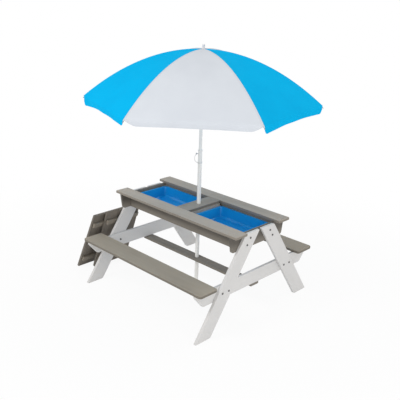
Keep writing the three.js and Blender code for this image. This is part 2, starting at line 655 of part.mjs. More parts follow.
// Pole: a foot cap, a lower tube, a collar in its mouth and an upper tube that slides in it.
function buildPole() {
  const bore = LOWER_POLE_RADIUS - LOWER_POLE_WALL;
  addPiece('pole_foot_cap', turned([
    [0, 0],
    [LOWER_POLE_RADIUS - EDGE_ROUND, 0],
    [LOWER_POLE_RADIUS, EDGE_ROUND],
    [LOWER_POLE_RADIUS, FOOT_CAP_FLOOR],
    [bore - TOUCH_GAP, FOOT_CAP_FLOOR],
    [bore - TOUCH_GAP, FOOT_CAP_HEIGHT],
    [0, FOOT_CAP_HEIGHT],
  ], POLE_SIDES), whitePlastic);
  const lower = turned([
    [bore, FOOT_CAP_FLOOR + TOUCH_GAP],
    [LOWER_POLE_RADIUS, FOOT_CAP_FLOOR + TOUCH_GAP],
    [LOWER_POLE_RADIUS, LOWER_POLE_TOP],
    [bore, LOWER_POLE_TOP],
    [bore, FOOT_CAP_FLOOR + TOUCH_GAP],
  ], POLE_SIDES);
  const pinHole = rodAlongX(PIN_RADIUS + PIN_HOLE_CLEARANCE, 0, LOWER_POLE_RADIUS + CUT_OVERRUN, PIN_SIDES)
    .rotateZ(PIN_BEARING).translate(0, 0, PIN_HEIGHT);
  addPiece('lower_pole', cut(lower, [pinHole]), whiteSteel);
  const slide = UPPER_POLE_RADIUS + COLLAR_BORE_CLEARANCE;
  const collarLow = LOWER_POLE_TOP + TOUCH_GAP;
  addPiece('pole_collar', turned([
    [slide, collarLow - COLLAR_PLUG_DEPTH],
    [bore - TOUCH_GAP, collarLow - COLLAR_PLUG_DEPTH],
    [bore - TOUCH_GAP, collarLow],
    [COLLAR_FLANGE_RADIUS, collarLow],
    [COLLAR_FLANGE_RADIUS, collarLow + COLLAR_FLANGE_HEIGHT * COLLAR_SHOULDER_SHARE],
    [COLLAR_FLANGE_RADIUS - EDGE_ROUND, collarLow + COLLAR_FLANGE_HEIGHT],
    [slide, collarLow + COLLAR_FLANGE_HEIGHT],
    [slide, collarLow - COLLAR_PLUG_DEPTH],
  ], POLE_SIDES), whitePlastic);
  const upperBottom = LOWER_POLE_TOP - UPPER_POLE_OVERLAP;
  const upperTop = HUB_TOP - HUB_HEIGHT - TOUCH_GAP;
  const upperBore = UPPER_POLE_RADIUS - UPPER_POLE_WALL;
  const upper = turned([
    [upperBore, upperBottom],
    [UPPER_POLE_RADIUS, upperBottom],
    [UPPER_POLE_RADIUS, upperTop],
    [upperBore, upperTop],
    [upperBore, upperBottom],
  ], POLE_SIDES);
  const heightHoles = [];
  const holeRadius = PIN_RADIUS + PIN_HOLE_CLEARANCE;
  for (let i = 0; i < HEIGHT_HOLES; i += 1) {
    heightHoles.push(rodAlongX(holeRadius, 0, UPPER_POLE_RADIUS + CUT_OVERRUN, PIN_SIDES)
      .rotateZ(PIN_BEARING).translate(0, 0, PIN_HEIGHT - i * HEIGHT_HOLE_PITCH));
  }
  addPiece('upper_pole', cut(upper, heightHoles), whiteSteel);
}

// Height pin: a shank through the lower tube's wall with a round head, and its handle loop.
function buildPin() {
  const tip = UPPER_POLE_RADIUS + TOUCH_GAP;
  const neck = LOWER_POLE_RADIUS + PIN_STICK_OUT;
  const pin = turned([
    [0, tip],
    [PIN_RADIUS, tip],
    [PIN_RADIUS, neck],
    [PIN_HEAD_RADIUS, neck],
    [PIN_HEAD_RADIUS, neck + PIN_HEAD_LENGTH * PIN_HEAD_ROUND_SHARE],
    [PIN_HEAD_RADIUS * PIN_HEAD_ROUND_SHARE, neck + PIN_HEAD_LENGTH],
    [0, neck + PIN_HEAD_LENGTH],
  ], PIN_SIDES).rotateY(Math.PI / 2).rotateZ(PIN_BEARING);
  addPiece('height_pin', pin, zincSteel).position.z = PIN_HEIGHT;
  const bandBore = LOWER_POLE_RADIUS + TOUCH_GAP;
  const bandTop = PIN_HEIGHT - TETHER_DROP + TETHER_BAND_HEIGHT;
  const band = turned([
    [bandBore, bandTop - TETHER_BAND_HEIGHT],
    [bandBore + TETHER_BAND_WALL, bandTop - TETHER_BAND_HEIGHT],
    [bandBore + TETHER_BAND_WALL, bandTop],
    [bandBore, bandTop],
    [bandBore, bandTop - TETHER_BAND_HEIGHT],
  ], POLE_SIDES);
  const start = bandBore + TETHER_BAND_WALL / 2;
  const low = bandTop - TETHER_BAND_HEIGHT / 2;
  const top = PIN_HEIGHT - PIN_HEAD_RADIUS - TETHER_RADIUS - TOUCH_GAP;
  const path = new THREE.CubicBezierCurve3(
    new THREE.Vector3(start, 0, low),
    new THREE.Vector3(LOWER_POLE_RADIUS + TETHER_LOW_REACH, 0, low),
    new THREE.Vector3(LOWER_POLE_RADIUS + TETHER_HIGH_REACH, 0, top),
    new THREE.Vector3(LOWER_POLE_RADIUS + TETHER_END_REACH, 0, top),
  );
  const section = new THREE.Shape();
  section.absarc(0, 0, TETHER_RADIUS, 0, 2 * Math.PI);
  const loop = new THREE.ExtrudeGeometry(section, {
    steps: TETHER_STEPS, extrudePath: path, curveSegments: TETHER_SIDES / 2, bevelEnabled: false });
  addPiece('pin_tether', join(band, [loop]).rotateZ(PIN_BEARING), zincSteel);
}

// Height of the canopy's outer face over a rib, at a distance from the pole.
function canopyHeight(radius) {
  return CANOPY_APEX_HEIGHT - CANOPY_DROP * (radius / CANOPY_RADIUS) ** 2;
}

// A point of a rib's middle line, in the XZ plane.
function ribPoint(radius) {
  const slope = 2 * CANOPY_DROP * radius / CANOPY_RADIUS ** 2;
  const out = new THREE.Vector3(slope, 0, 1).normalize();
  const depth = CANOPY_THICKNESS + RIB_FABRIC_CLEARANCE + RIB_RADIUS;
  return new THREE.Vector3(radius, 0, canopyHeight(radius)).addScaledVector(out, -depth);
}

// The point where a strut's outer end meets its rib, in the XZ plane.
function clipPoint() {
  const over = ribPoint(HUB_PIVOT_RADIUS + STRUT_CLIP_REACH);
  return new THREE.Vector3(over.x, 0, over.z - STRUT_CLIP_DROP);
}

// A flat bar in the XZ plane with a round end and a pivot hole at each end.
function pivotBar(from, to, width, low, high, holes) {
  const along = to.clone().sub(from);
  const shape = new THREE.Shape();
  shape.absarc(along.length(), 0, width / 2, -Math.PI / 2, Math.PI / 2);
  shape.absarc(0, 0, width / 2, Math.PI / 2, 1.5 * Math.PI);
  shape.closePath();
  for (const place of holes) {
    const hole = new THREE.Path();
    hole.absarc(place * along.length(), 0, HINGE_PIN_RADIUS + HINGE_HOLE_CLEARANCE, 0, 2 * Math.PI);
    shape.holes.push(hole);
  }
  const bar = new THREE.ExtrudeGeometry(shape, {
    depth: high - low, bevelEnabled: false, curveSegments: HINGE_SIDES / 2 });
  bar.rotateX(Math.PI / 2).translate(0, high, 0);
  return bar.rotateY(-Math.atan2(along.z, along.x)).translate(from.x, 0, from.z);
}

// Ribs: a bowed rod with a flat pivot tab at the hub, a lug for the strut and a round tip.
function buildRibs() {
  const pivot = new THREE.Vector3(HUB_PIVOT_RADIUS, 0, HUB_PIVOT_HEIGHT);
  const tabEnd = ribPoint(HUB_PIVOT_RADIUS + RIB_TAB_LENGTH);
  tabEnd.z -= RIB_TAB_HEIGHT / 2 - RIB_RADIUS;
  const clip = clipPoint();
  const first = tabEnd.x - RIB_TAB_HEIGHT / 2;
  const last = CANOPY_RADIUS - RIB_END_INSET;
  const points = [];
  for (let i = 0; i <= RIB_STEPS; i += 1) {
    points.push(ribPoint(first + (last - first) * (i / RIB_STEPS)));
  }
  const section = new THREE.Shape();
  section.absarc(0, 0, RIB_RADIUS, 0, 2 * Math.PI);
  const rodBody = new THREE.ExtrudeGeometry(section, {
    steps: RIB_STEPS,
    extrudePath: new THREE.CatmullRomCurve3(points),
    curveSegments: RIB_SIDES / 2,
    bevelEnabled: false,
  });
  const half = RIB_TAB_WIDTH / 2;
  const tab = pivotBar(pivot, tabEnd, RIB_TAB_HEIGHT, -half, half, [0]);
  const lugTop = ribPoint(clip.x);
  lugTop.z -= RIB_LUG_RADIUS - RIB_RADIUS;
  const lug = pivotBar(clip, lugTop, 2 * RIB_LUG_RADIUS, -RIB_RADIUS, RIB_RADIUS, []);
  const tip = new THREE.SphereGeometry(RIB_TIP_RADIUS, RIB_SIDES, RIB_SIDES)
    .translate(...ribPoint(last).toArray());
  const body = join(rodBody, [tab, lug, tip.translate(0, 0, -RIB_RADIUS)]);
  for (let i = 0; i < RIB_COUNT; i += 1) {
    addPiece(`rib_${i + 1}`, body, whiteSteel).rotation.z = ribBearing(i);
  }
}

// Bearing of a rib round the pole.
function ribBearing(index) {
  return FIRST_RIB_BEARING + index * 2 * Math.PI / RIB_COUNT;
}

// Struts: flat bars from the runner up to the lugs, lying beside the ribs' plane.
function buildStruts() {
  const pivot = new THREE.Vector3(HUB_PIVOT_RADIUS, 0, RUNNER_PIVOT_HEIGHT);
  const low = RIB_RADIUS + STRUT_SIDE_GAP;
  const body = pivotBar(pivot, clipPoint(), STRUT_WIDTH, low, low + STRUT_THICKNESS, [0, 1]);
  for (let i = 0; i < RIB_COUNT; i += 1) {
    addPiece(`strut_${i + 1}`, body, whiteSteel).rotation.z = ribBearing(i);
  }
}

// Turns a piece of the first rib's plane to every rib's bearing.
function roundTheRibs(makeGeometry) {
  const all = [];
  for (let i = 0; i < RIB_COUNT; i += 1) {
    all.push(makeGeometry().rotateZ(ribBearing(i)));
  }
  return all;
}

// Hub: a slotted head on the upper tube, with a pin across each slot for a rib.
function buildHub() {
  const low = HUB_TOP - HUB_HEIGHT;
  const spigot = UPPER_POLE_RADIUS - UPPER_POLE_WALL - TOUCH_GAP;
  const bossTop = CANOPY_APEX_HEIGHT;
  const body = turned([
    [0, low - HUB_SPIGOT_LENGTH],
    [spigot, low - HUB_SPIGOT_LENGTH],
    [spigot, low],
    [HUB_RADIUS - EDGE_ROUND, low],
    [HUB_RADIUS, low + EDGE_ROUND],
    [HUB_RADIUS, HUB_TOP - EDGE_ROUND],
    [HUB_RADIUS - EDGE_ROUND, HUB_TOP],
    [HUB_BOSS_RADIUS, HUB_TOP],
    [HUB_BOSS_RADIUS, bossTop],
    [0, bossTop],
  ], HUB_SIDES);
  const half = RIB_TAB_WIDTH / 2 + HINGE_SLOT_CLEARANCE;
  const slots = roundTheRibs(() => boxBetween(
    [HUB_CORE_RADIUS, -half, low - CUT_OVERRUN],
    [HUB_RADIUS + CUT_OVERRUN, half, HUB_TOP + CUT_OVERRUN]));
  const pinEnd = half + EDGE_ROUND;
  const pins = roundTheRibs(() => rodAlongY(HINGE_PIN_RADIUS, -pinEnd, pinEnd, HINGE_SIDES)
    .translate(HUB_PIVOT_RADIUS, 0, HUB_PIVOT_HEIGHT));
  addPiece('top_hub', join(cut(body, slots), pins), whitePlastic);
}

// Runner: a ring that slides on the upper tube, with a slot and a pin for each strut.
function buildRunner() {
  const bore = UPPER_POLE_RADIUS + RUNNER_BORE_CLEARANCE;
  const top = RUNNER_PIVOT_HEIGHT + RUNNER_RING_HEIGHT / 2;
  const low = RUNNER_PIVOT_HEIGHT - RUNNER_RING_HEIGHT / 2;
  const body = turned([
    [bore, low - RUNNER_SKIRT_HEIGHT],
    [RUNNER_SKIRT_RADIUS, low - RUNNER_SKIRT_HEIGHT],
    [RUNNER_SKIRT_RADIUS, low - EDGE_ROUND],
    [RUNNER_RADIUS, low - EDGE_ROUND],
    [RUNNER_RADIUS, top],
    [bore, top],
    [bore, low - RUNNER_SKIRT_HEIGHT],
  ], HUB_SIDES);
  const slotLow = RIB_RADIUS + STRUT_SIDE_GAP - HINGE_SLOT_CLEARANCE;
  const slotHigh = slotLow + STRUT_THICKNESS + 2 * HINGE_SLOT_CLEARANCE;
  const slots = roundTheRibs(() => boxBetween(
    [RUNNER_CORE_RADIUS - EDGE_ROUND, slotLow, RUNNER_PIVOT_HEIGHT - STRUT_WIDTH / 2 - HINGE_SLOT_CLEARANCE],
    [RUNNER_RADIUS + CUT_OVERRUN, slotHigh, top + CUT_OVERRUN]));
  const pinLow = slotLow - EDGE_ROUND;
  const pinHigh = slotHigh + EDGE_ROUND / 2;
  const pins = roundTheRibs(() => rodAlongY(HINGE_PIN_RADIUS, pinLow, pinHigh, HINGE_SIDES)
    .translate(HUB_PIVOT_RADIUS, 0, RUNNER_PIVOT_HEIGHT));
  addPiece('runner', join(cut(body, slots), pins), whitePlastic);
}

// Finial: a disc over the fabric's middle and a rounded knob.
function buildFinial() {
  const low = CANOPY_APEX_HEIGHT + TOUCH_GAP;
  const discTop = low + FINIAL_DISC_THICKNESS;
  const top = low + FINIAL_HEIGHT;
  addPiece('finial', turned([
    [0, low],
    [FINIAL_DISC_RADIUS, low],
    [FINIAL_DISC_RADIUS - EDGE_ROUND, discTop],
    [FINIAL_FOOT_RADIUS, discTop],
    [FINIAL_NECK_RADIUS, discTop + FINIAL_HEIGHT * FINIAL_NECK_SHARE],
    [FINIAL_BULB_RADIUS, discTop + FINIAL_HEIGHT * FINIAL_BULB_LOW_SHARE],
    [FINIAL_BULB_RADIUS, discTop + FINIAL_HEIGHT * FINIAL_BULB_HIGH_SHARE],
    [FINIAL_TOP_RADIUS, top - EDGE_ROUND],
    [0, top],
  ], POLE_SIDES), whitePlastic);
}

// One point of a gore's face: `along` runs from the hole to the hem, `across` from rib to rib.
// The gore's side edges lie in planes beside its two ribs, at every depth of the cloth.
function gorePoint(along, across, depth) {
  const half = Math.PI / RIB_COUNT;
  const radius = CANOPY_HOLE_RADIUS + (CANOPY_RADIUS - CANOPY_HOLE_RADIUS) * Math.min(along, 1);
  const slope = 2 * CANOPY_DROP * radius / CANOPY_RADIUS ** 2 / Math.cos(half);
  const roof = new THREE.Vector3(slope, 0, 1).normalize();
  const wall = new THREE.Vector3(1, 0, 0);
  const middle = radius * Math.cos(half);
  const point = new THREE.Vector3(middle, 0, canopyHeight(radius));
  if (along > 1) {
    const fromEdge = (1 - Math.abs(across)) * middle * Math.tan(half);
    const back = Math.max(VALANCE_CORNER_RADIUS - fromEdge, 0);
    const rise = VALANCE_CORNER_RADIUS - Math.sqrt(VALANCE_CORNER_RADIUS ** 2 - back ** 2);
    point.z -= (along - 1) * (VALANCE_DEPTH - rise);
    point.addScaledVector(wall, -depth);
  } else {
    const out = along === 1 ? roof.add(wall).normalize() : roof;
    point.addScaledVector(out, -depth);
  }
  point.y = across * (point.x * Math.tan(half) - TOUCH_GAP / Math.cos(half));
  return point;
}

// Canopy: six sewn gores, each a sheet between two ribs with a valance hanging from its hem.
function buildCanopy() {
  const rows = [];
  for (let i = 0; i <= GORE_ROWS; i += 1) {
    rows.push(i / GORE_ROWS);
  }
  for (let i = 1; i <= VALANCE_ROWS; i += 1) {
    rows.push(1 + i / VALANCE_ROWS);
  }
  const columns = GORE_COLUMN_SHARES.length;
  const points = [];
  for (const depth of [0, CANOPY_THICKNESS]) {
    for (const along of rows) {
      for (const across of GORE_COLUMN_SHARES) {
        points.push(...gorePoint(along, across, depth).toArray());
      }
    }
  }
  const sheet = rows.length * columns;
  const faces = [];
  const quad = (a, b, c, d) => faces.push(a, b, c, a, c, d);
  for (let row = 0; row + 1 < rows.length; row += 1) {
    for (let column = 0; column + 1 < columns; column += 1) {
      const a = row * columns + column;
      quad(a, a + columns, a + columns + 1, a + 1);
      quad(sheet + a, sheet + a + 1, sheet + a + columns + 1, sheet + a + columns);
    }
  }
  for (let row = 0; row + 1 < rows.length; row += 1) {
    const left = row * columns;
    const right = left + columns - 1;
    quad(left, sheet + left, sheet + left + columns, left + columns);
    quad(right, right + columns, sheet + right + columns, sheet + right);
  }
  for (let column = 0; column + 1 < columns; column += 1) {
    const hem = (rows.length - 1) * columns + column;
    quad(column, column + 1, sheet + column + 1, sheet + column);
    quad(hem, sheet + hem, sheet + hem + 1, hem + 1);
  }
  const body = new THREE.BufferGeometry();
  body.setAttribute('position', new THREE.Float32BufferAttribute(points, 3));
  body.setIndex(faces);
  body.computeVertexNormals();
  for (let i = 0; i < RIB_COUNT; i += 1) {
    const mesh = addPiece(`canopy_gore_${i + 1}`, body, i % 2 ? blueCloth : whiteCloth);
    mesh.rotation.z = ribBearing(i) + Math.PI / RIB_COUNT;
  }
}

buildTop();
buildFrame();
buildLegs();
buildBeamsAndBenches();
buildBins();
buildLids();
buildPole();
buildPin();
buildHub();
buildFinial();
buildRibs();
buildStruts();
buildRunner();
buildCanopy();

export default model;
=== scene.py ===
"""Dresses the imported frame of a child's garden table.

The table has two benches, two play bins under loose plank lids, and a sunshade on a pole
through its middle. All lengths are in metres, in the frame's own axes: +Z up, X along the
table, the origin on the ground under the pole.
"""

from __future__ import annotations

import logging
import math
from collections.abc import Callable, Iterator, Sequence
from dataclasses import dataclass, field
from enum import Enum
from typing import Any

import bmesh
import bpy
from mathutils import Euler, Matrix, Vector

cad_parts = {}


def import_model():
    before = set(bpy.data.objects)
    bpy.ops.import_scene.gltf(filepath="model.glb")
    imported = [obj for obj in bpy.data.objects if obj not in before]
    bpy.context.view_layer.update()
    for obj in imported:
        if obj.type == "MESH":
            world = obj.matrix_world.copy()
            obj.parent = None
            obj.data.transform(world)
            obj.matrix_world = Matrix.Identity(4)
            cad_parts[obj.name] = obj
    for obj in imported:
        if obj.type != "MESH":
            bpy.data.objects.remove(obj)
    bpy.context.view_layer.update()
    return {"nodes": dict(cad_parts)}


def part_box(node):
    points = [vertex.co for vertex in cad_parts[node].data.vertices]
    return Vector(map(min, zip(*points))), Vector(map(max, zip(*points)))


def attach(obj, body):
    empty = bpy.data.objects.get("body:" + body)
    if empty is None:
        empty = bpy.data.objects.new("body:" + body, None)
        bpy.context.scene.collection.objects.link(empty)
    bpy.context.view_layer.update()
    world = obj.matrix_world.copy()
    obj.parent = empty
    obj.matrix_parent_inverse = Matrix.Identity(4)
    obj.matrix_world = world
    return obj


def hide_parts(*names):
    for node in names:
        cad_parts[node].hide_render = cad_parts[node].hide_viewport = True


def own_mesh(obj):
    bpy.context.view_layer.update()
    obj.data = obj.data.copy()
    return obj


LOG = logging.getLogger("garden_table")
FULL_TURN = 2 * math.pi
QUARTER_TURN = math.pi / 2
CLOSE = 1e-6  # points nearer than this count as one
WHITE = (1.0, 1.0, 1.0, 1.0)
LID_PLANKS = 3
BATTENS = ("lower_batten", "upper_batten")

Socket = bpy.types.NodeSocket
Mesh = bmesh.types.BMesh
Marks = tuple[float, float, float]
Stops = tuple[float, float]
Outline = Sequence[tuple[float, float]]


# Colours and shader building


@dataclass(frozen=True)
class Tint:
    """A colour as a picture shows it, each channel from 0 to 255."""

    red: float
    green: float
    blue: float

    def linear(self) -> tuple[float, float, float, float]:
        """Works out the colour that a shader socket takes, by the sRGB curve.

        Returns:
            Its channels from 0 to 1, and an alpha of 1.
        """
        channels = []
        for value in (self.red, self.green, self.blue):
            share = value / 255
            curved = ((share + 0.055) / 1.055) ** 2.4
            channels.append(share / 12.92 if share <= 0.04045 else curved)
        return (*channels, 1.0)

    def scaled(self, factor: float) -> Tint:
        """The same hue, lighter or darker by a factor."""
        return Tint(*(min(255.0, value * factor) for value in (self.red, self.green, self.blue)))


class Amount:
    """A number socket that takes part in Python sums. Each operator adds its Math node."""

    def __init__(self, bench: NodeBench, socket: Socket) -> None:
        """Wraps a socket of the bench's node tree."""
        self.bench = bench
        self.socket = socket

    def _math(self, operation: str, *terms: Any) -> Amount:
        """Adds one Math node, whose terms are numbers or amounts."""
        return self.bench.amount("ShaderNodeMath", {"operation": operation}, dict(enumerate(terms)))

    def __add__(self, other: Any) -> Amount:
        """This plus another."""
        return self._math("ADD", self, other)

    __radd__ = __add__

    def __sub__(self, other: Any) -> Amount:
        """This minus another."""
        return self._math("SUBTRACT", self, other)

    def __rsub__(self, other: Any) -> Amount:
        """Another minus this."""
        return self._math("SUBTRACT", other, self)

    def __mul__(self, other: Any) -> Amount:
        """This times another."""
        return self._math("MULTIPLY", self, other)

    __rmul__ = __mul__

    def __abs__(self) -> Amount:
        """This without its sign."""
        return self._math("ABSOLUTE", self)

    def wave(self) -> Amount:
        """The sine of this, in radians."""
        return self._math("SINE", self)

    def rise(self, low: float, high: float) -> Amount:
        """Goes smoothly from 0 to 1 as this goes from low to high."""
        inputs = {"Value": self, "From Min": low, "From Max": high}
        return self.bench.amount("ShaderNodeMapRange", {"interpolation_type": "SMOOTHSTEP"}, inputs)

    def band(self, middle: float, half_width: float) -> Amount:
        """Is 1 at a value and falls smoothly to 0 at a half width on either side."""
        return 1 - abs(self - middle).rise(0.0, half_width)


class NodeBench:
    """The node tree of a material or a world, and the few ways in which nodes are added to it."""

    def __init__(self, owner: bpy.types.Material | bpy.types.World) -> None:
        """Empties the owner's node tree, but for a new output node.

        Args:
            owner: the material or world that the nodes are for.
        """
        owner.use_nodes = True
        self.owner = owner
        self.tree = owner.node_tree
        self.tree.nodes.clear()
        kind = "World" if isinstance(owner, bpy.types.World) else "Material"
        self.out = self.tree.nodes.new(f"ShaderNodeOutput{kind}")

    def add(
        self,
        kind: str,
        settings: dict[str, Any] | None = None,
        inputs: dict[str | int, Any] | None = None,
    ) -> bpy.types.Node:
        """Adds a node, sets it up and fills its sockets.

        Args:
            kind: the node's type.
            settings: its properties, which are set first.
            inputs: a value, amount or socket for each named or numbered input.

        Returns:
            The node.
        """
        node = self.tree.nodes.new(kind)
        for key, value in (settings or {}).items():
            setattr(node, key, value)
        for key, value in (inputs or {}).items():
            source = value.socket if isinstance(value, Amount) else value
            if isinstance(source, Socket):
                self.tree.links.new(source, node.inputs[key])
            else:
                node.inputs[key].default_value = source
        return node

    def amount(
        self,
        kind: str,
        settings: dict[str, Any] | None = None,
        inputs: dict[str | int, Any] | None = None,
        output: str | int = 0,
    ) -> Amount:
        """Adds a node as above, and takes one of its outputs as an amount."""
        return Amount(self, self.add(kind, settings, inputs).outputs[output])

    def place(self) -> Socket:
        """Where a point lies in the frame."""
        return self.add("ShaderNodeTexCoord").outputs["Object"]

    def facing(self, axis: Vector) -> Amount:
        """How squarely the surface faces along an axis, either way: 1 is squarely."""
        inputs = {0: self.add("ShaderNodeTexCoord").outputs["Normal"], 1: tuple(axis)}
        return abs(self.amount("ShaderNodeVectorMath", {"operation": "DOT_PRODUCT"}, inputs, 1))

    def beyond(self, half_length: float, half_width: float, blur: float) -> Amount:
        """Where a point lies outside an upright box round the pole.

        Args:
            half_length: how far the box reaches along X.
            half_width: how far it reaches along Y.
            blur: how wide its border is, to each side.

        Returns:
            0 inside the box and 1 outside it.
        """
        size = self.add("ShaderNodeVectorMath", {"operation": "ABSOLUTE"}, {0: self.place()})
        along, across, _ = self.parts(size.outputs[0])
        within_length = 1 - along.rise(half_length - blur, half_length + blur)
        return 1 - within_length * (1 - across.rise(half_width - blur, half_width + blur))

    def turned(self, vector: Socket, turn: Euler) -> Socket:
        """A vector turned about the origin."""
        inputs = {"Vector": vector, "Rotation": turn}
        return self.add("ShaderNodeMapping", {"vector_type": "POINT"}, inputs).outputs[0]

    def parts(self, vector: Socket) -> tuple[Amount, Amount, Amount]:
        """A vector's three numbers."""
        node = self.add("ShaderNodeSeparateXYZ", None, {0: vector})
        return tuple(Amount(self, output) for output in node.outputs)

    def spread(self, vector: Socket, marks: float | Marks) -> dict[str, Any]:
        """Spreads a pattern's marks over some coordinates.

        Args:
            vector: the coordinates.
            marks: how many marks there are to a metre, in all directions or along each axis.

        Returns:
            The vector and scale inputs of the pattern's node.
        """
        if isinstance(marks, float):
            return {"Vector": vector, "Scale": marks}
        inputs = {0: vector, 1: marks}
        stretched = self.add("ShaderNodeVectorMath", {"operation": "MULTIPLY"}, inputs)
        return {"Vector": stretched.outputs[0], "Scale": 1.0}

    def noise(
        self, vector: Socket, marks: float | Marks, detail: float = 3.0, rough: float = 0.55
    ) -> Amount:
        """Adds a cloudy pattern.

        Args:
            vector: the coordinates that it follows.
            marks: how many clouds there are to a metre, in all directions or along each axis.
            detail: how many finer layers it has.
            rough: how strong the finer layers are.

        Returns:
            The pattern, from 0 to 1.
        """
        inputs = {**self.spread(vector, marks), "Detail": detail, "Roughness": rough}
        return self.amount("ShaderNodeTexNoise", None, inputs)

    def cells(self, vector: Socket, marks: float | Marks) -> Amount:
        """The distance to the nearest of many scattered points, as a share of their spacing."""
        inputs = self.spread(vector, marks)
        return self.amount("ShaderNodeTexVoronoi", {"feature": "F1"}, inputs, "Distance")

    def between(self, share: Any, first: Any, second: Any) -> Socket:
        """The colour that lies a share of the way from one colour to another."""
        inputs = {0: share, 6: first, 7: second}
        return self.add("ShaderNodeMix", {"data_type": "RGBA"}, inputs).outputs[2]

    def relief(self, height: Amount, strength: float, depth: float) -> Socket:
        """The normal of a height pattern, where 1 is the depth in metres and the strength shows."""
        inputs = {"Height": height, "Strength": strength, "Distance": depth}
        return self.add("ShaderNodeBump", None, inputs).outputs[0]

    def mixed(self, share: Any, first: bpy.types.Node, second: bpy.types.Node) -> bpy.types.Node:
        """The shader that lies a share of the way from one shader to another."""
        inputs = {0: share, 1: first.outputs[0], 2: second.outputs[0]}
        return self.add("ShaderNodeMixShader", None, inputs)

    def close(self, shader: bpy.types.Node) -> Any:
        """Links a shader to the output, and gives back the material or world."""
        self.tree.links.new(shader.outputs[0], self.out.inputs["Surface"])
        return self.owner

    def finish(self, inputs: dict[str | int, Any]) -> bpy.types.Material:
        """Closes the material with one surface shader that has these inputs."""
        return self.close(self.add("ShaderNodeBsdfPrincipled", None, inputs))


# Finishes


class Grain(Enum):
    """Which way a board's length and face point, so that its grain runs along it."""

    ALONG_TABLE = ((1, 0, 0), (0, 0, 1))
    ALONG_TABLE_ON_EDGE = ((1, 0, 0), (0, 1, 0))
    ACROSS_TABLE = ((0, 1, 0), (0, 0, 1))
    ACROSS_TABLE_ON_EDGE = ((0, 1, 0), (1, 0, 0))
    FRONT_LEG = ((0, -0.5672, -0.8236), (1, 0, 0))
    BACK_LEG = ((0, 0.5672, -0.8236), (1, 0, 0))
    INNER_LID = ((0.3420, 0, 0.9397), (-0.9397, 0, 0.3420))
    INNER_LID_BATTEN = ((0, 1, 0), (-0.9397, 0, 0.3420))
    OUTER_LID = ((0.4305, 0, 0.9026), (-0.9026, 0, 0.4305))
    OUTER_LID_BATTEN = ((0, 1, 0), (-0.9026, 0, 0.4305))

    def face(self) -> Vector:
        """The direction in which the board's face points."""
        return Vector(self.value[1]).normalized()

    def turn(self) -> Euler:
        """The turn that lays the board's length along X and its face up."""
        length, face = Vector(self.value[0]).normalized(), self.face()
        return Matrix((length, face.cross(length), face)).to_euler()


@dataclass(frozen=True)
class BoardFinish:
    """Stain or paint on a sawn and planed softwood board.

    The patterns have so many marks to a metre along the board, across it and through it, and
    their stops are the values between which they set in. A tone is a factor on the colour of the
    face or the streaks. Dullness is what the fine marks add to the roughness, and polish is taken
    off it. Painted shade darkens what lies outside an upright box round the pole, the more the
    higher, until it is full; it stands for the shadow under the top boards' overhang.
    """

    name: str
    face: Tint
    streak: Tint
    streak_share: float = 0.6
    knots: float = 0.2
    roughness: float = 0.62
    relief: float = 0.28
    # How far the board's sides darken: partly the stain that sawn wood soaks up, partly painted
    # shade on sides that light from above misses.
    sawn_edge_and_shade_share: float = 0.0
    # Painted shade under the top boards' overhang: its strength, the heights over which it sets in,
    # and the upright box round the pole that it stays out of.
    painted_shade: float = 0.0
    painted_shade_from: float = 0.418
    painted_shade_to: float = 0.470
    painted_shade_half_length: float = 0.427
    painted_shade_half_width: float = 0.139
    painted_shade_blur: float = 0.002
    fine_marks: Marks = (5, 150, 150)
    broad_marks: Marks = (1.6, 22, 22)
    cloud_marks: Marks = (3, 5, 5)
    pore_marks: Marks = (60, 900, 900)
    knot_marks: Marks = (3.2, 9, 9)
    fine_stops: Stops = (0.45, 0.75)
    broad_stops: Stops = (0.42, 0.72)
    cloud_stops: Stops = (0.35, 0.7)
    knot_stops: Stops = (0.05, 0.16)
    sawn_edge_and_shade_stops: Stops = (0.55, 0.85)
    cloud_share: float = 0.35
    worn_tone: float = 1.05
    knot_tone: float = 0.82
    sawn_edge_and_shade_tone: float = 0.6
    # How dark the painted shade under the overhang is, as a factor on the streak colour.
    painted_shade_tone: float = 0.5
    polish: float = 0.05
    dullness: float = 0.12
    relief_depth: float = 0.0008

    def make(self, grain: Grain) -> bpy.types.Material:
        """Makes the finish for boards that lie one way.

        Args:
            grain: which way they lie.

        Returns:
            The material.
        """
        bench = NodeBench(bpy.data.materials.new(f"{self.name}_{grain.name.lower()}"))
        along = bench.turned(bench.place(), grain.turn())
        fine = bench.noise(along, self.fine_marks, detail=4.0, rough=0.6)
        broad = bench.noise(along, self.broad_marks)
        cloudy = bench.noise(along, self.cloud_marks, detail=2.0)
        pores = bench.noise(along, self.pore_marks, detail=2.0)
        streaks = broad.rise(*self.broad_stops) * 0.6 + fine.rise(*self.fine_stops) * 0.4
        share = streaks * self.streak_share
        stained = bench.between(share, self.face.linear(), self.streak.linear())
        share = cloudy.rise(*self.cloud_stops) * self.cloud_share
        worn = bench.between(share, stained, self.face.scaled(self.worn_tone).linear())
        share = (1 - bench.cells(along, self.knot_marks).rise(*self.knot_stops)) * self.knots
        spotted = bench.between(share, worn, self.streak.scaled(self.knot_tone).linear())
        # The sides other than the board's face darken: partly the stain that sawn wood soaks up,
        # partly painted shade where light from above misses them.
        share = (1 - bench.facing(grain.face()).rise(*self.sawn_edge_and_shade_stops)) * self.sawn_edge_and_shade_share
        colour = bench.between(share, spotted, self.streak.scaled(self.sawn_edge_and_shade_tone).linear())
        # Painted shade: the shadow under the top boards' overhang, darker the higher a point lies
        # outside an upright box round the pole.
        if self.painted_shade > 0:
            _, _, height = bench.parts(bench.place())
            outside = bench.beyond(self.painted_shade_half_length, self.painted_shade_half_width, self.painted_shade_blur)
            share = height.rise(self.painted_shade_from, self.painted_shade_to) * outside * self.painted_shade
            colour = bench.between(share, colour, self.streak.scaled(self.painted_shade_tone).linear())
        surface = fine * 0.5 + broad * 0.2 + pores * 0.3
        return bench.finish(
            {
                "Base Color": colour,
                "Roughness": self.roughness + fine * self.dullness - self.polish,
                "Normal": bench.relief(surface, self.relief, self.relief_depth),
            }
        )


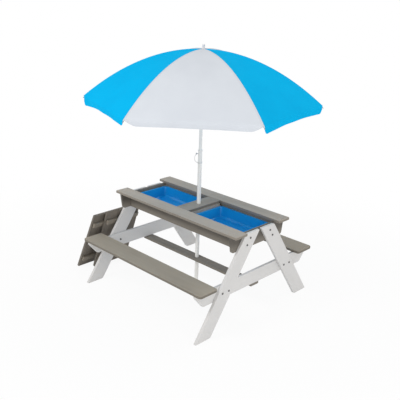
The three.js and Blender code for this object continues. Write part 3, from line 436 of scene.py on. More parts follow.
@dataclass(frozen=True)
class MouldedFinish:
    """Moulded plastic, with a faintly uneven skin and light scuffs.

    A dullness is what a pattern adds to the roughness.
    """

    name: str
    face: Tint
    shade: Tint
    roughness: float
    coat: float
    cloud_marks: float = 9.0
    skin_marks: float = 420.0
    scuff_marks: Marks = (30, 260, 90)
    cloud_stops: Stops = (0.3, 0.7)
    cloud_share: float = 0.5
    scuff_stops: Stops = (0.6, 0.8)
    scuff_dullness: float = 0.18
    skin_dullness: float = 0.05
    coat_roughness: float = 0.18
    skin_relief: float = 0.25
    skin_depth: float = 0.0003

    def make(self) -> bpy.types.Material:
        """Makes the finish.

        Returns:
            The material.
        """
        bench = NodeBench(bpy.data.materials.new(self.name))
        place = bench.place()
        cloudy = bench.noise(place, self.cloud_marks, detail=2.0)
        shaded = cloudy.rise(*self.cloud_stops) * self.cloud_share
        skin = bench.noise(place, self.skin_marks, detail=2.0)
        scratched = bench.noise(place, self.scuff_marks, detail=4.0, rough=0.7)
        scuffs = scratched.rise(*self.scuff_stops) * self.scuff_dullness
        return bench.finish(
            {
                "Base Color": bench.between(shaded, self.face.linear(), self.shade.linear()),
                "Roughness": self.roughness + scuffs + skin * self.skin_dullness,
                "Coat Weight": self.coat,
                "Coat Roughness": self.coat_roughness,
                "Normal": bench.relief(skin, self.skin_relief, self.skin_depth),
            }
        )


@dataclass(frozen=True)
class MetalFinish:
    """Coated, plated or blackened steel, with a faint orange peel.

    Its dullness is what the peel adds to the roughness, and polish is taken off it.
    """

    name: str
    face: Tint
    shade: Tint
    metallic: float
    roughness: float
    peel_marks: float
    cloud_marks: float = 24.0
    cloud_stops: Stops = (0.35, 0.7)
    cloud_share: float = 0.6
    peel_dullness: float = 0.14
    polish: float = 0.05
    peel_relief: float = 0.3
    peel_depth: float = 0.0002

    def make(self) -> bpy.types.Material:
        """Makes the finish.

        Returns:
            The material.
        """
        bench = NodeBench(bpy.data.materials.new(self.name))
        place = bench.place()
        cloudy = bench.noise(place, self.cloud_marks)
        shaded = cloudy.rise(*self.cloud_stops) * self.cloud_share
        peel = bench.noise(place, self.peel_marks, detail=2.0)
        return bench.finish(
            {
                "Base Color": bench.between(shaded, self.face.linear(), self.shade.linear()),
                "Metallic": self.metallic,
                "Roughness": self.roughness + peel * self.peel_dullness - self.polish,
                "Normal": bench.relief(peel, self.peel_relief, self.peel_depth),
            }
        )


@dataclass(frozen=True)
class ClothFinish:
    """Thin woven sunshade cloth.

    Its UV map gives metres across the gore from its rib's seam, and along the gore from its top.
    A row of stitches lies at a share of the seam allowance, and of the hem's fold. A tone is a
    factor on a colour, and a dullness is what a pattern adds to the roughness.
    """

    name: str
    face: Tint
    shade: Tint
    thread_pitch: float = 0.0012
    seam_allowance: float = 0.009
    seam_row: float = 0.72
    stitch_pitch: float = 0.0045
    stitch_half_width: float = 0.0011
    hem_fold: float = 0.012
    hem_row: float = 0.8
    stitch_stops: Stops = (-0.5, 0.3)
    stitch_share: float = 0.5
    stitch_tone: float = 1.12
    cloud_marks: float = 6.0
    cloud_stops: Stops = (0.3, 0.75)
    cloud_share: float = 0.55
    crease_marks: Marks = (14, 14, 5)
    doubled_tone: float = 0.93
    roughness: float = 0.78
    weave_dullness: float = 0.12
    gloss: float = 0.03
    sheen: float = 0.03
    sheen_roughness: float = 0.5
    relief: float = 0.4
    relief_depth: float = 0.0012

    def stitches(self, across: Amount, middle: float, along: Amount) -> Amount:
        """Adds a straight row of stitches.

        Args:
            across: the distance across the row.
            middle: that distance on the row's own line.
            along: the distance along the row.

        Returns:
            1 on a stitch and 0 beside the row.
        """
        turns = along * (FULL_TURN / self.stitch_pitch)
        stitched = turns.wave().rise(*self.stitch_stops)
        return across.band(middle, self.stitch_half_width) * stitched

    def make(self, hem_at: float) -> bpy.types.Material:
        """Makes the finish.

        Args:
            hem_at: how far along the cloth its lower edge lies, in metres.

        Returns:
            The material.
        """
        bench = NodeBench(bpy.data.materials.new(self.name))
        across, along, _ = bench.parts(bench.add("ShaderNodeUVMap", {"uv_map": "cloth"}).outputs[0])
        turns = FULL_TURN / self.thread_pitch
        weave = ((across * turns).wave() + (along * turns).wave()) * 0.25 + 0.5
        place = bench.place()
        cloudy = bench.noise(place, self.cloud_marks)
        shaded = cloudy.rise(*self.cloud_stops) * self.cloud_share
        creases = bench.noise(place, self.crease_marks, detail=4.0, rough=0.5)
        allowance = 1 - across.rise(self.seam_allowance * 0.9, self.seam_allowance * 1.1)
        fold = along.rise(hem_at - self.hem_fold * 1.05, hem_at - self.hem_fold * 0.95)
        seam_row = self.stitches(across, self.seam_allowance * self.seam_row, along)
        hem_row = self.stitches(along, hem_at - self.hem_fold * self.hem_row, across)
        rows = seam_row + hem_row
        colour = bench.between(shaded, self.face.linear(), self.shade.linear())
        share = allowance * 0.35 + fold * 0.08
        doubled = bench.between(share, colour, self.shade.scaled(self.doubled_tone).linear())
        thread = self.face.scaled(self.stitch_tone).linear()
        surface = weave * 0.16 + creases * 0.3 + allowance * 0.3 + fold * 0.3 - rows * 0.25
        return bench.finish(
            {
                "Base Color": bench.between(rows * self.stitch_share, doubled, thread),
                "Roughness": self.roughness + weave * self.weave_dullness,
                "Specular IOR Level": self.gloss,
                "Sheen Weight": self.sheen,
                "Sheen Roughness": self.sheen_roughness,
                "Sheen Tint": self.face.linear(),
                "Normal": bench.relief(surface, self.relief, self.relief_depth),
            }
        )


# Mesh helpers


def linked(name: str, data: bpy.types.ID) -> bpy.types.Object:
    """Makes an object and links it to the scene.

    Args:
        name: the object's name.
        data: what it shows.

    Returns:
        The object.
    """
    made = bpy.data.objects.new(name, data)
    bpy.context.scene.collection.objects.link(made)
    return made


def finished(mesh: Mesh, name: str, smooth_angle: float | None = 35.0) -> bpy.types.Object:
    """Turns a mesh into an object at the origin.

    Args:
        mesh: the mesh, which this frees.
        name: the object's name.
        smooth_angle: edges that bend less than this many degrees are shaded smooth, or none
            if it is None.

    Returns:
        The object.
    """
    mesh.normal_update()
    if smooth_angle is not None:
        limit = math.radians(smooth_angle)
        for face in mesh.faces:
            face.smooth = True
        for edge in mesh.edges:
            edge.smooth = len(edge.link_faces) == 2 and edge.calc_face_angle(0.0) < limit
    data = bpy.data.meshes.new(name)
    mesh.to_mesh(data)
    mesh.free()
    return linked(name, data)


def dress(
    piece: bpy.types.Object, finish: bpy.types.Material, body: str
) -> bpy.types.Object:
    """Gives a piece its looks and its place in the model.

    Args:
        piece: the piece.
        finish: its material.
        body: the body that it rides on.

    Returns:
        The piece.
    """
    piece.data.materials.append(finish)
    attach(piece, body)
    LOG.info("%s rides on %s", piece.name, body)
    return piece


def moved(mesh: Mesh, matrix: Matrix) -> Mesh:
    """Puts all of a mesh in place."""
    bmesh.ops.transform(mesh, matrix=matrix, verts=mesh.verts)
    return mesh


def face_up(mesh: Mesh) -> None:
    """Turns a sheet's faces all to one side, which is its upper side on the whole.

    Args:
        mesh: the sheet.
    """
    bmesh.ops.recalc_face_normals(mesh, faces=mesh.faces)
    if sum(face.normal.z * face.calc_area() for face in mesh.faces) < 0:
        bmesh.ops.reverse_faces(mesh, faces=mesh.faces)


def fitted(outline: Outline, radius: float = 1.0, height: float = 1.0, low: float = 0.0) -> Outline:
    """An outline with its radii and its heights multiplied, and then raised."""
    return [(out * radius, low + up * height) for out, up in outline]


def spun(outline: Outline, steps: int, close: bool) -> Mesh:
    """Makes a solid of revolution about Z.

    Args:
        outline: points of radius and height, from the bottom to the top of the outside.
        steps: the number of steps round.
        close: True where the outline is a loop, as a tube's wall is.

    Returns:
        The mesh, with its doubles merged and its faces outwards.
    """
    mesh = bmesh.new()
    points = [mesh.verts.new((radius, 0, height)) for radius, height in outline]
    edges = [mesh.edges.new(pair) for pair in zip(points, points[1:])]
    if close:
        edges.append(mesh.edges.new((points[-1], points[0])))
    bmesh.ops.spin(
        mesh,
        geom=points + edges,
        cent=(0, 0, 0),
        axis=(0, 0, 1),
        angle=FULL_TURN,
        steps=steps,
        use_merge=True,
    )
    bmesh.ops.remove_doubles(mesh, verts=mesh.verts, dist=CLOSE)
    bmesh.ops.recalc_face_normals(mesh, faces=mesh.faces)
    return mesh


def middle_of(node: str) -> Vector:
    """The middle of a CAD node's box."""
    low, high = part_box(node)
    return (Vector(low) + Vector(high)) / 2


def planks_of(lid: str) -> list[str]:
    """The nodes of a lid's planks, in order."""
    return [f"{lid}_plank_{number}" for number in range(1, LID_PLANKS + 1)]


def add_disc(
    mesh: Mesh, radius: float, low: float, high: float, sides: int, edge: float | None = None
) -> bmesh.types.BMFace:
    """Adds a round or hexagonal disc about Z.

    Args:
        mesh: what it is added to.
        radius: its radius.
        low: its lower face's height.
        high: its upper face's height.
        sides: its sides.
        edge: how wide its eased edges are, or None.

    Returns:
        Its upper face.
    """
    made = bmesh.ops.create_cone(
        mesh,
        cap_ends=True,
        segments=sides,
        radius1=radius,
        radius2=radius,
        depth=high - low,
        matrix=Matrix.Translation((0, 0, (low + high) / 2)),
    )
    if edge is not None:
        lines = {line for vertex in made["verts"] for line in vertex.link_edges}
        rims = [line for line in lines if abs(line.verts[0].co.z - line.verts[1].co.z) < CLOSE]
        bmesh.ops.bevel(
            mesh,
            geom=rims,
            offset=edge,
            segments=2,
            profile=0.5,
            affect="EDGES",
            material=-1,
            clamp_overlap=True,
        )
    caps = (face for face in mesh.faces if len(face.verts) == sides)
    return next(face for face in caps if abs(face.calc_center_median().z - high) < CLOSE)


def sink_socket(mesh: Mesh, crown: bmesh.types.BMFace, ring: float, depth: float) -> None:
    """Sinks a key's socket into a head's crown.

    Args:
        mesh: the head.
        crown: its flat top, which faces up.
        ring: how wide the rim round the socket is.
        depth: how deep the socket is.
    """
    bmesh.ops.inset_individual(mesh, faces=[crown], thickness=ring)
    sunk = bmesh.ops.extrude_discrete_faces(mesh, faces=[crown])["faces"]
    bmesh.ops.translate(mesh, verts=sunk[0].verts, vec=(0, 0, -depth))


def drilled(mesh: Mesh, tool: Mesh) -> Mesh:
    """Cuts one closed mesh out of another.

    Args:
        mesh: what is cut. This frees it.
        tool: what cuts it. This frees it too.

    Returns:
        What is left.
    """
    blank, cutter = finished(mesh, "blank", None), finished(tool, "cutter", None)
    cut = blank.modifiers.new("cut", "BOOLEAN")
    cut.operation = "DIFFERENCE"
    cut.solver = "EXACT"
    cut.object = cutter
    shaped = blank.evaluated_get(bpy.context.evaluated_depsgraph_get())
    result = bmesh.new()
    result.from_mesh(shaped.to_mesh())
    shaped.to_mesh_clear()
    for used in (blank, cutter):
        data = used.data
        bpy.data.objects.remove(used)
        bpy.data.meshes.remove(data)
    return result


# Sub-assemblies


@dataclass
class Frame:
    """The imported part's own nodes, which keep their shapes."""

    nodes: dict[str, bpy.types.Object]

    def paint(self, names: Sequence[str], finish: bpy.types.Material) -> None:
        """Gives CAD nodes a finish.

        Args:
            names: the nodes.
            finish: their material.
        """
        for name in names:
            for slot in self.nodes[name].material_slots:
                slot.material = finish
            LOG.info("%s keeps its shape and is finished in %s", name, finish.name)


@dataclass
class Boards:
    """All the boards of the table, benches, frame and lids."""

    frame: Frame
    # The edge shares darken the boards' sides, partly for stain soaked into sawn wood and partly as
    # painted shade.
    stain: BoardFinish = BoardFinish(
        "grey_stain", Tint(183, 174, 162), Tint(161, 152, 140),
        sawn_edge_and_shade_share=0.6,
    )
    bench_stain: BoardFinish = BoardFinish(
        "bench_stain", Tint(166, 158, 144), Tint(145, 137, 124),
        sawn_edge_and_shade_share=0.7,
    )
    inner_stain: BoardFinish = BoardFinish(
        "inner_stain", Tint(156, 150, 141), Tint(136, 131, 122),
        sawn_edge_and_shade_share=0.6,
    )
    # A darker copy of the boards' stain. It paints the shade that the aprons and the stretcher lie
    # in under the top, and it also carries painted shade under the overhang.
    shaded_stain: BoardFinish = BoardFinish(
        "shaded_stain", Tint(128, 122, 113), Tint(110, 105, 97),
        streak_share=0.7, knots=0.22, roughness=0.64, relief=0.3, painted_shade=0.6,
    )
    ledge_stain: BoardFinish = BoardFinish(
        "ledge_stain", Tint(162, 154, 143), Tint(143, 136, 126),
        roughness=0.64,
    )
    lid_stain: BoardFinish = BoardFinish(
        "lid_stain", Tint(119, 112, 103), Tint(90, 84, 76),
        streak_share=0.9, knots=0.4, roughness=0.68, relief=0.4,
    )
    batten_stain: BoardFinish = BoardFinish(
        "batten_stain", Tint(138, 130, 118), Tint(108, 101, 91),
        streak_share=0.8, knots=0.3, roughness=0.68, relief=0.4,
    )
    paint: BoardFinish = BoardFinish(
        "white_paint", Tint(215, 214, 213), Tint(208, 207, 205),
        streak_share=0.35, knots=0.05, roughness=0.42, relief=0.12,
    )

    def plan(self) -> Iterator[tuple[BoardFinish, Grain, list[str]]]:
        """Lists which boards have which finish, and which way they lie.

        Yields:
            The finish, the grain and the nodes.
        """
        yield self.stain, Grain.ALONG_TABLE, ["front_top_board", "back_top_board"]
        yield self.inner_stain, Grain.ACROSS_TABLE, ["centre_board"]
        # The aprons and the stretcher take the darker copy of the stain, as painted shade.
        yield self.shaded_stain, Grain.ALONG_TABLE_ON_EDGE, ["front_apron", "back_apron"]
        yield self.shaded_stain, Grain.ACROSS_TABLE_ON_EDGE, ["left_end_apron", "right_end_apron"]
        yield self.bench_stain, Grain.ALONG_TABLE, ["front_bench", "back_bench"]
        yield self.shaded_stain, Grain.ALONG_TABLE, ["stretcher_board"]
        yield self.ledge_stain, Grain.ALONG_TABLE_ON_EDGE, ["front_ledger", "back_ledger"]
        yield self.ledge_stain, Grain.ACROSS_TABLE_ON_EDGE, ["left_joist", "right_joist"]
        yield self.paint, Grain.FRONT_LEG, ["left_front_leg", "right_front_leg"]
        yield self.paint, Grain.BACK_LEG, ["left_back_leg", "right_back_leg"]
        yield self.paint, Grain.ACROSS_TABLE_ON_EDGE, ["left_crossbeam", "right_crossbeam"]
        for lid, plank_grain, batten_grain in (
            ("inner_lid", Grain.INNER_LID, Grain.INNER_LID_BATTEN),
            ("outer_lid", Grain.OUTER_LID, Grain.OUTER_LID_BATTEN),
        ):
            yield self.lid_stain, plank_grain, planks_of(lid)
            yield self.batten_stain, batten_grain, [f"{lid}_{batten}" for batten in BATTENS]

    def finish_all(self) -> None:
        """Finishes every wooden node with its grain along it."""
        for finish, grain, names in self.plan():
            self.frame.paint(names, finish.make(grain))


@dataclass
class Bolts:
    """The bolts that hold the legs to the end aprons and crossbeams, with washers and nuts."""

    outer_face: float = 0.450
    leg_thickness: float = 0.016
    touch_gap: float = 0.0003
    apron_thickness: float = 0.014
    beam_thickness: float = 0.016
    top_underside: float = 0.498
    apron_drops: tuple[float, float] = (0.028, 0.062)
    beam_middle: float = 0.2225
    beam_spacing: float = 0.046
    leg_top_gap: float = 0.012
    foot_spread: float = 0.698
    leg_width: float = 0.088
    head_radius: float = 0.0044
    head_height: float = 0.0024
    head_round: float = 0.0009
    socket_radius: float = 0.0020
    socket_depth: float = 0.0014
    shank_radius: float = 0.0025
    washer_radius: float = 0.0058
    washer_thickness: float = 0.0009
    washer_edge: float = 0.0002
    nut_radius: float = 0.0054
    nut_thickness: float = 0.0042
    nut_sides: int = 6
    nut_edge: float = 0.0004
    thread_end: float = 0.0025
    head_sides: int = 32
    shank_sides: int = 16
    finish: MetalFinish = MetalFinish(
        "bolt_steel", Tint(122, 121, 120), Tint(96, 95, 95),
        metallic=0.8, roughness=0.42, peel_marks=900.0,
    )

    def leg_middle(self, height: float) -> float:
        """Finds a leg's middle line.

        Args:
            height: how high above the ground.

        Returns:
            How far from the table's middle the line lies there.
        """
        slope = (self.foot_spread - self.leg_top_gap) / 2 / self.top_underside
        level_width = self.leg_width / math.cos(math.atan(slope))
        return self.leg_top_gap / 2 + slope * (self.top_underside - height) + level_width / 2

    def places(self) -> Iterator[tuple[float, float, float]]:
        """Places the bolts of one leg.

        Yields:
            How far across and how high a bolt is, and how thick what it goes through is.
        """
        for drop in self.apron_drops:
            height = self.top_underside - drop
            grip = self.leg_thickness + self.touch_gap + self.apron_thickness
            yield self.leg_middle(height), height, grip
        for side in (-1, 1):
            across = self.leg_middle(self.beam_middle) + side * self.beam_spacing / 2
            grip = self.leg_thickness + self.touch_gap + self.beam_thickness
            yield across, self.beam_middle, grip

    def bolt(self, grip: float) -> Mesh:
        """Makes one bolt along -X from its washer's face at the origin.

        Args:
            grip: the thickness that it holds.

        Returns:
            The mesh of washers, domed head with a round socket, shank and nut.
        """
        mesh = bmesh.new()
        washer_top = self.washer_thickness
        head_top = washer_top + self.head_height
        far_washer = -grip - self.washer_thickness
        nut_low = far_washer - self.nut_thickness
        end = nut_low - self.thread_end
        sides, edge = self.head_sides, self.washer_edge
        add_disc(mesh, self.washer_radius, 0.0, washer_top, sides, edge)
        crown = add_disc(mesh, self.head_radius, washer_top, head_top, sides, self.head_round)
        ring = self.head_radius - self.head_round - self.socket_radius
        sink_socket(mesh, crown, ring, self.socket_depth)
        add_disc(mesh, self.shank_radius, -grip, 0.0, self.shank_sides)
        add_disc(mesh, self.washer_radius, far_washer, -grip, sides, edge)
        add_disc(mesh, self.nut_radius, nut_low, far_washer, self.nut_sides, self.nut_edge)
        add_disc(mesh, self.shank_radius, end, nut_low, self.shank_sides, self.nut_edge)
        bmesh.ops.recalc_face_normals(mesh, faces=mesh.faces)
        return moved(mesh, Matrix.Rotation(QUARTER_TURN, 4, "Y"))

    def make(self) -> None:
        """Makes the bolts of all four legs."""
        steel = self.finish.make()
        for hand, end in (("left", -1), ("right", 1)):
            for row, side in (("front", -1), ("back", 1)):
                for number, (across, height, grip) in enumerate(self.places(), 1):
                    mesh = self.bolt(grip)
                    if end < 0:
                        moved(mesh, Matrix.Rotation(math.pi, 4, "Z"))
                    place = (end * self.outer_face, side * across, height)
                    moved(mesh, Matrix.Translation(place))
                    piece = finished(mesh, f"bolt_{hand}_{row}_{number}")
                    dress(piece, steel, "table")


@dataclass(frozen=True)
class RibCircle:
    """How the sunshade's ribs stand round its pole."""

    ribs: int = 6
    first_bearing: float = math.radians(-79.5)

    def half_angle(self) -> float:
        """Half the angle between two ribs."""
        return math.pi / self.ribs

    def bearing(self, number: float) -> float:
        """The bearing of a rib, or at a half number that of the middle between two ribs."""
        return self.first_bearing + (number - 1) * 2 * self.half_angle()


@dataclass(frozen=True)
class FlapCut:
    """How the flap below a gore's hem line is cut."""

    depth: float
    corner_width: float
    corner_rise: float
    corner_bend: float
    arch: float


@dataclass(frozen=True)
class GoreCloth:
    """What the gores of one colour are made of, and how their flaps are cut."""

    colour: str
    finish: ClothFinish
    cut: FlapCut


@dataclass
class Canopy:
    """The sunshade's cloth.

    Each gore has two halves, each sewn to its rib. Each half is cut into a strip that lies flat
    beside the rib and the rest of the half, and both ride on that rib. A round patch closes the
    top. Two halves, named by their gore and side, have flaps that are cut unevenly.
    """

    circle: RibCircle = RibCircle()
    apex_height: float = 1.356
    radius: float = 0.632
    drop: float = 0.268
    hole_radius: float = 0.013
    flap_slit: float = 0.004
    slit_power: int = 12
    flap_wave: float = 0.0016
    flap_waves: int = 3
    crease_round: float = 0.012
    seam_power: int = 8
    cloth_thickness: float = 0.0008
    sag: float = 0.007
    sag_reach: float = 1.1
    sag_power: float = 0.8
    hem_pull: float = 0.004
    pull_power: int = 6
    roof_rows: int = 30
    crease_rows: int = 8
    flap_rows: int = 6
    columns: int = 22
    seam_strip: float = 0.038
    strip_slack: float = 1.08
    folded_share: float = 0.06
    smooth_angle: float = 70.0
    patch_bore: float = 0.0062
    patch_radius: float = 0.038
    patch_gap: float = 0.0012
    patch_rings: int = 8
    patch_sides: int = 72
    white: GoreCloth = GoreCloth(
        "white",
        ClothFinish("white_cloth", Tint(213, 218, 225), Tint(206, 211, 219)),
        FlapCut(depth=0.0285, corner_width=0.056, corner_rise=0.0265, corner_bend=1.4, arch=0.0015),
    )
    blue: GoreCloth = GoreCloth(
        "blue",
        ClothFinish("blue_cloth", Tint(2, 182, 238), Tint(1, 173, 231)),
        FlapCut(depth=0.041, corner_width=0.028, corner_rise=0.024, corner_bend=2.0, arch=0.011),
    )
    uneven: dict[tuple[int, int], FlapCut] = field(
        default_factory=lambda: {
            (6, -1): FlapCut(
                depth=0.054, corner_width=0.026, corner_rise=0.024, corner_bend=2.0, arch=0.024
            ),
            (6, 1): FlapCut(
                depth=0.032, corner_width=0.028, corner_rise=0.018, corner_bend=2.0, arch=0.002
            ),
        }
    )

    def height(self, radius: float) -> float:
        """How high the cloth lies over a rib, at a distance from the pole."""
        return self.apex_height - self.drop * (radius / self.radius) ** 2

    def dip(self, share: float, free: float = 1.0) -> float:
        """Works out how far the cloth sags.

        Args:
            share: 0 at the hole and 1 at the hem line.
            free: 0 at a rib's seam and 1 at a gore's middle line.

        Returns:
            How far it lies under its ribs' height.
        """
        reach = min(share * self.sag_reach, 1.0)
        return self.sag * free * math.sin(math.pi * reach) ** self.sag_power

    def run(self, along: float, cut: FlapCut) -> float:
        """Measures along the cloth over a rib.

        Args:
            along: 0 at the hole, 1 at the hem line and 2 at the flap's lower edge.
            cut: how the flap is cut.

        Returns:
            How far from the hole that is.
        """
        roof = min(along, 1.0) * (self.radius - self.hole_radius)
        end = self.hole_radius + roof
        slope = 2 * self.drop * end / self.radius**2
        length = roof * math.sqrt(1 + slope * slope / 3)
        return length + max(along - 1.0, 0.0) * cut.depth

    def crease_ends(self, cut: FlapCut) -> tuple[float, float]:
        """Where the round between roof and flap begins and ends along a gore."""
        return 1 - self.crease_round / self.run(1.0, cut), 1 + self.crease_round / cut.depth

    def rows(self, cut: FlapCut) -> list[float]:
        """Spaces the rows of a gore's mesh, closest together over the hem line.

        Args:
            cut: how the flap is cut.

        Returns:
            Where each row lies along the gore.
        """
        before, after = self.crease_ends(cut)
        half = self.crease_rows // 2
        stretches = (
            (0.0, before, self.roof_rows),
            (before, 1.0, half),
            (1.0, after, half),
            (after, 2.0, self.flap_rows),
        )
        places = [
            start + (end - start) * row / count
            for start, end, count in stretches
            for row in range(count)
        ]
        return [*places, 2.0]

    def sharp_point(self, along: float, across: float, cut: FlapCut) -> Vector:
        """Places a point of a gore whose middle line lies over +X, with a sharp hem line.

        Args:
            along: 0 at the hole, 1 at the hem line and 2 at the flap's lower edge.
            across: 0 at the middle line, and 1 at the rib's seam on the +Y side.
            cut: how its flap is cut.

        Returns:
            The point.
        """
        share = min(along, 1.0)
        radius = self.hole_radius + (self.radius - self.hole_radius) * share
        middle = radius * math.cos(self.circle.half_angle())
        half_width = middle * math.tan(self.circle.half_angle())
        free = 1 - across * across
        height = self.height(radius) - self.dip(share, free)
        place = Vector((middle, across * half_width, height))
        place.x -= self.hem_pull * free * share**self.pull_power
        fall = max(along - 1, 0.0)
        if fall > 0:
            from_edge = (1 - across) * half_width
            back = max(1 - from_edge / cut.corner_width, 0.0)
            rise = cut.corner_rise * back**cut.corner_bend + cut.arch * free
            wave = math.cos(self.flap_waves * math.pi * across)
            slit = min(fall * cut.depth / self.crease_round, 1.0) * across**self.slit_power
            place.x += self.flap_wave * fall * wave * free
            place.y -= self.flap_slit * slit
            place.z -= fall * (cut.depth - rise)
        return place

    def point(self, along: float, across: float, cut: FlapCut) -> Vector:
        """Places a point of the same gore with its fold rounded, but not at the rib.

        Args:
            along: as for a sharp point.
            across: as for a sharp point.
            cut: how its flap is cut.

        Returns:
            The point.
        """
        before, after = self.crease_ends(cut)
        sharp = self.sharp_point(along, across, cut)
        if not before < along < after:
            return sharp
        share = (along - before) / (1 - before) / 2
        if along >= 1:
            share = 0.5 + (along - 1) / (after - 1) / 2
        first, corner, last = (self.sharp_point(row, across, cut) for row in (before, 1.0, after))
        rounded = (1 - share) ** 2 * first + 2 * share * (1 - share) * corner + share**2 * last
        return rounded.lerp(sharp, across**self.seam_power)

    def half_gore(self, side: int, bearing: float, cut: FlapCut, plain: FlapCut) -> Mesh:
        """Makes one half of a gore, from its middle line to its rib.

        Args:
            side: 1 where its rib is on the +Y side of its middle line, or -1.
            bearing: the bearing of the gore's middle line.
            cut: how this half's flap is cut.
            plain: how the flaps of its colour are cut, which its UV map follows so that all
                hems match.

        Returns:
            The sheet, without its thickness.
        """
        rows = self.rows(cut)
        last = len(rows) - 1
        mesh = bmesh.new()
        bmesh.ops.create_grid(mesh, x_segments=self.columns, y_segments=last, size=0.5)
        shares = {
            vertex: (rows[round((vertex.co.y + 0.5) * last)], vertex.co.x + 0.5)
            for vertex in mesh.verts
        }
        layer = mesh.loops.layers.uv.new("cloth")
        for face in mesh.faces:
            for loop in face.loops:
                along, across = shares[loop.vert]
                seam = (1 - across) * self.sharp_point(along, 1.0, cut).y
                loop[layer].uv = (seam, self.run(along, plain))
        turn = Matrix.Rotation(bearing, 4, "Z")
        for vertex, (along, across) in shares.items():
            place = self.point(along, across, cut)
            place.y *= side
            vertex.co = turn @ place
        face_up(mesh)
        return mesh

    def beside_rib(self, half: Mesh, inward: Vector, strip: bool) -> Mesh:
        """Cuts one of its two parts out of a half gore.

        Args:
            half: the half gore, which is left as it is.
            inward: the level direction square to the rib that points to the gore's middle line.
            strip: True for the strip at the rib, or False for the rest.

        Returns:
            The part.
        """
        part = half.copy()
        bmesh.ops.bisect_plane(
            part,
            geom=[*part.verts, *part.edges, *part.faces],
            dist=CLOSE,
            plane_co=inward * self.seam_strip,
            plane_no=inward,
            clear_outer=strip,
            clear_inner=not strip,
        )
        return part

    def sewn(self, mesh: Mesh, name: str) -> bpy.types.Object:
        """Gives a sheet the cloth's thickness under its outer face.

        Args:
            mesh: the sheet, which this frees.
            name: the piece's name.

        Returns:
            The piece.
        """
        piece = finished(mesh, name, self.smooth_angle)
        wall = piece.modifiers.new("cloth", "SOLIDIFY")
        wall.thickness = self.cloth_thickness
        wall.offset = -1.0
        return piece

    def flat_size(self, cut: FlapCut, strip: bool) -> tuple[float, float]:
        """The width and length that the strip or the rest of one half gore was cut to."""
        rest = self.radius * math.sin(self.circle.half_angle()) - self.seam_strip
        return self.seam_strip * self.strip_slack if strip else rest, self.run(2.0, cut)

    def sew_half(
        self, gore: int, side: int, rib: int, kind: GoreCloth, cloth: bpy.types.Material
    ) -> None:
        """Args:
            gore: the gore's number.
            side: 1 where the half's rib is on the +Y side of its middle line, or -1.
            rib: the rib's number.
            kind: what the gore is made of.
            cloth: its material.
        """
        middle = gore + 0.5
        bearing = self.circle.bearing(middle + side / 2)
        inward = Vector((math.sin(bearing), -math.cos(bearing), 0)) * side
        cut = self.uneven.get((gore, side), kind.cut)
        whole = self.half_gore(side, self.circle.bearing(middle), cut, kind.cut)
        for strip, where in ((True, "at"), (False, "from")):
            mesh = self.beside_rib(whole, inward, strip)
            piece = self.sewn(mesh, f"cloth_gore_{gore}_{where}_rib_{rib}")
            dress(piece, cloth, f"rib_{rib}")
            if not strip:
                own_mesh(piece)
            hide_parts(f"canopy_gore_{gore}")
            flat = self.flat_size(kind.cut, strip)
        whole.free()

    def patch(self, cloth: bpy.types.Material) -> None:
        """Makes the round patch that closes the gores' top under the knob.

        Args:
            cloth: its material.
        """
        mesh = bmesh.new()
        bmesh.ops.create_circle(
            mesh, cap_ends=False, segments=self.patch_sides, radius=self.patch_radius
        )
        rim = mesh.edges[:]
        step = (self.patch_bore - self.patch_radius) / self.patch_rings
        for ring in range(1, self.patch_rings + 1):
            made = bmesh.ops.extrude_edge_only(mesh, edges=rim)["geom"]
            rim = [item for item in made if isinstance(item, bmesh.types.BMEdge)]
            corners = [item for item in made if isinstance(item, bmesh.types.BMVert)]
            share = (self.patch_radius + step * ring) / corners[0].co.to_2d().length
            bmesh.ops.scale(mesh, verts=corners, vec=(share, share, 1.0))
        layer = mesh.loops.layers.uv.new("cloth")
        for face in mesh.faces:
            for loop in face.loops:
                reach = loop.vert.co.to_2d().length
                loop[layer].uv = (self.patch_radius - reach, reach)
        for vertex in mesh.verts:
            reach = vertex.co.to_2d().length
            share = max(reach - self.hole_radius, 0.0) / (self.radius - self.hole_radius)
            vertex.co.z = self.height(reach) - self.dip(share) - self.patch_gap
        face_up(mesh)
        area = sum(face.calc_area() for face in mesh.faces)
        name = "cloth_crown_patch"
        piece = dress(self.sewn(mesh, name), cloth, "upper_pole")

    def make(self) -> None:
        """Makes both halves of each gore, and the patch."""
        kinds = (self.white, self.blue)
        cloths = [kind.finish.make(self.run(2.0, kind.cut)) for kind in kinds]
        for gore in range(1, self.circle.ribs + 1):
            which = (gore - 1) % len(kinds)
            for side, rib in ((-1, gore), (1, gore % self.circle.ribs + 1)):
                self.sew_half(gore, side, rib, kinds[which], cloths[which])
        self.patch(cloths[0])


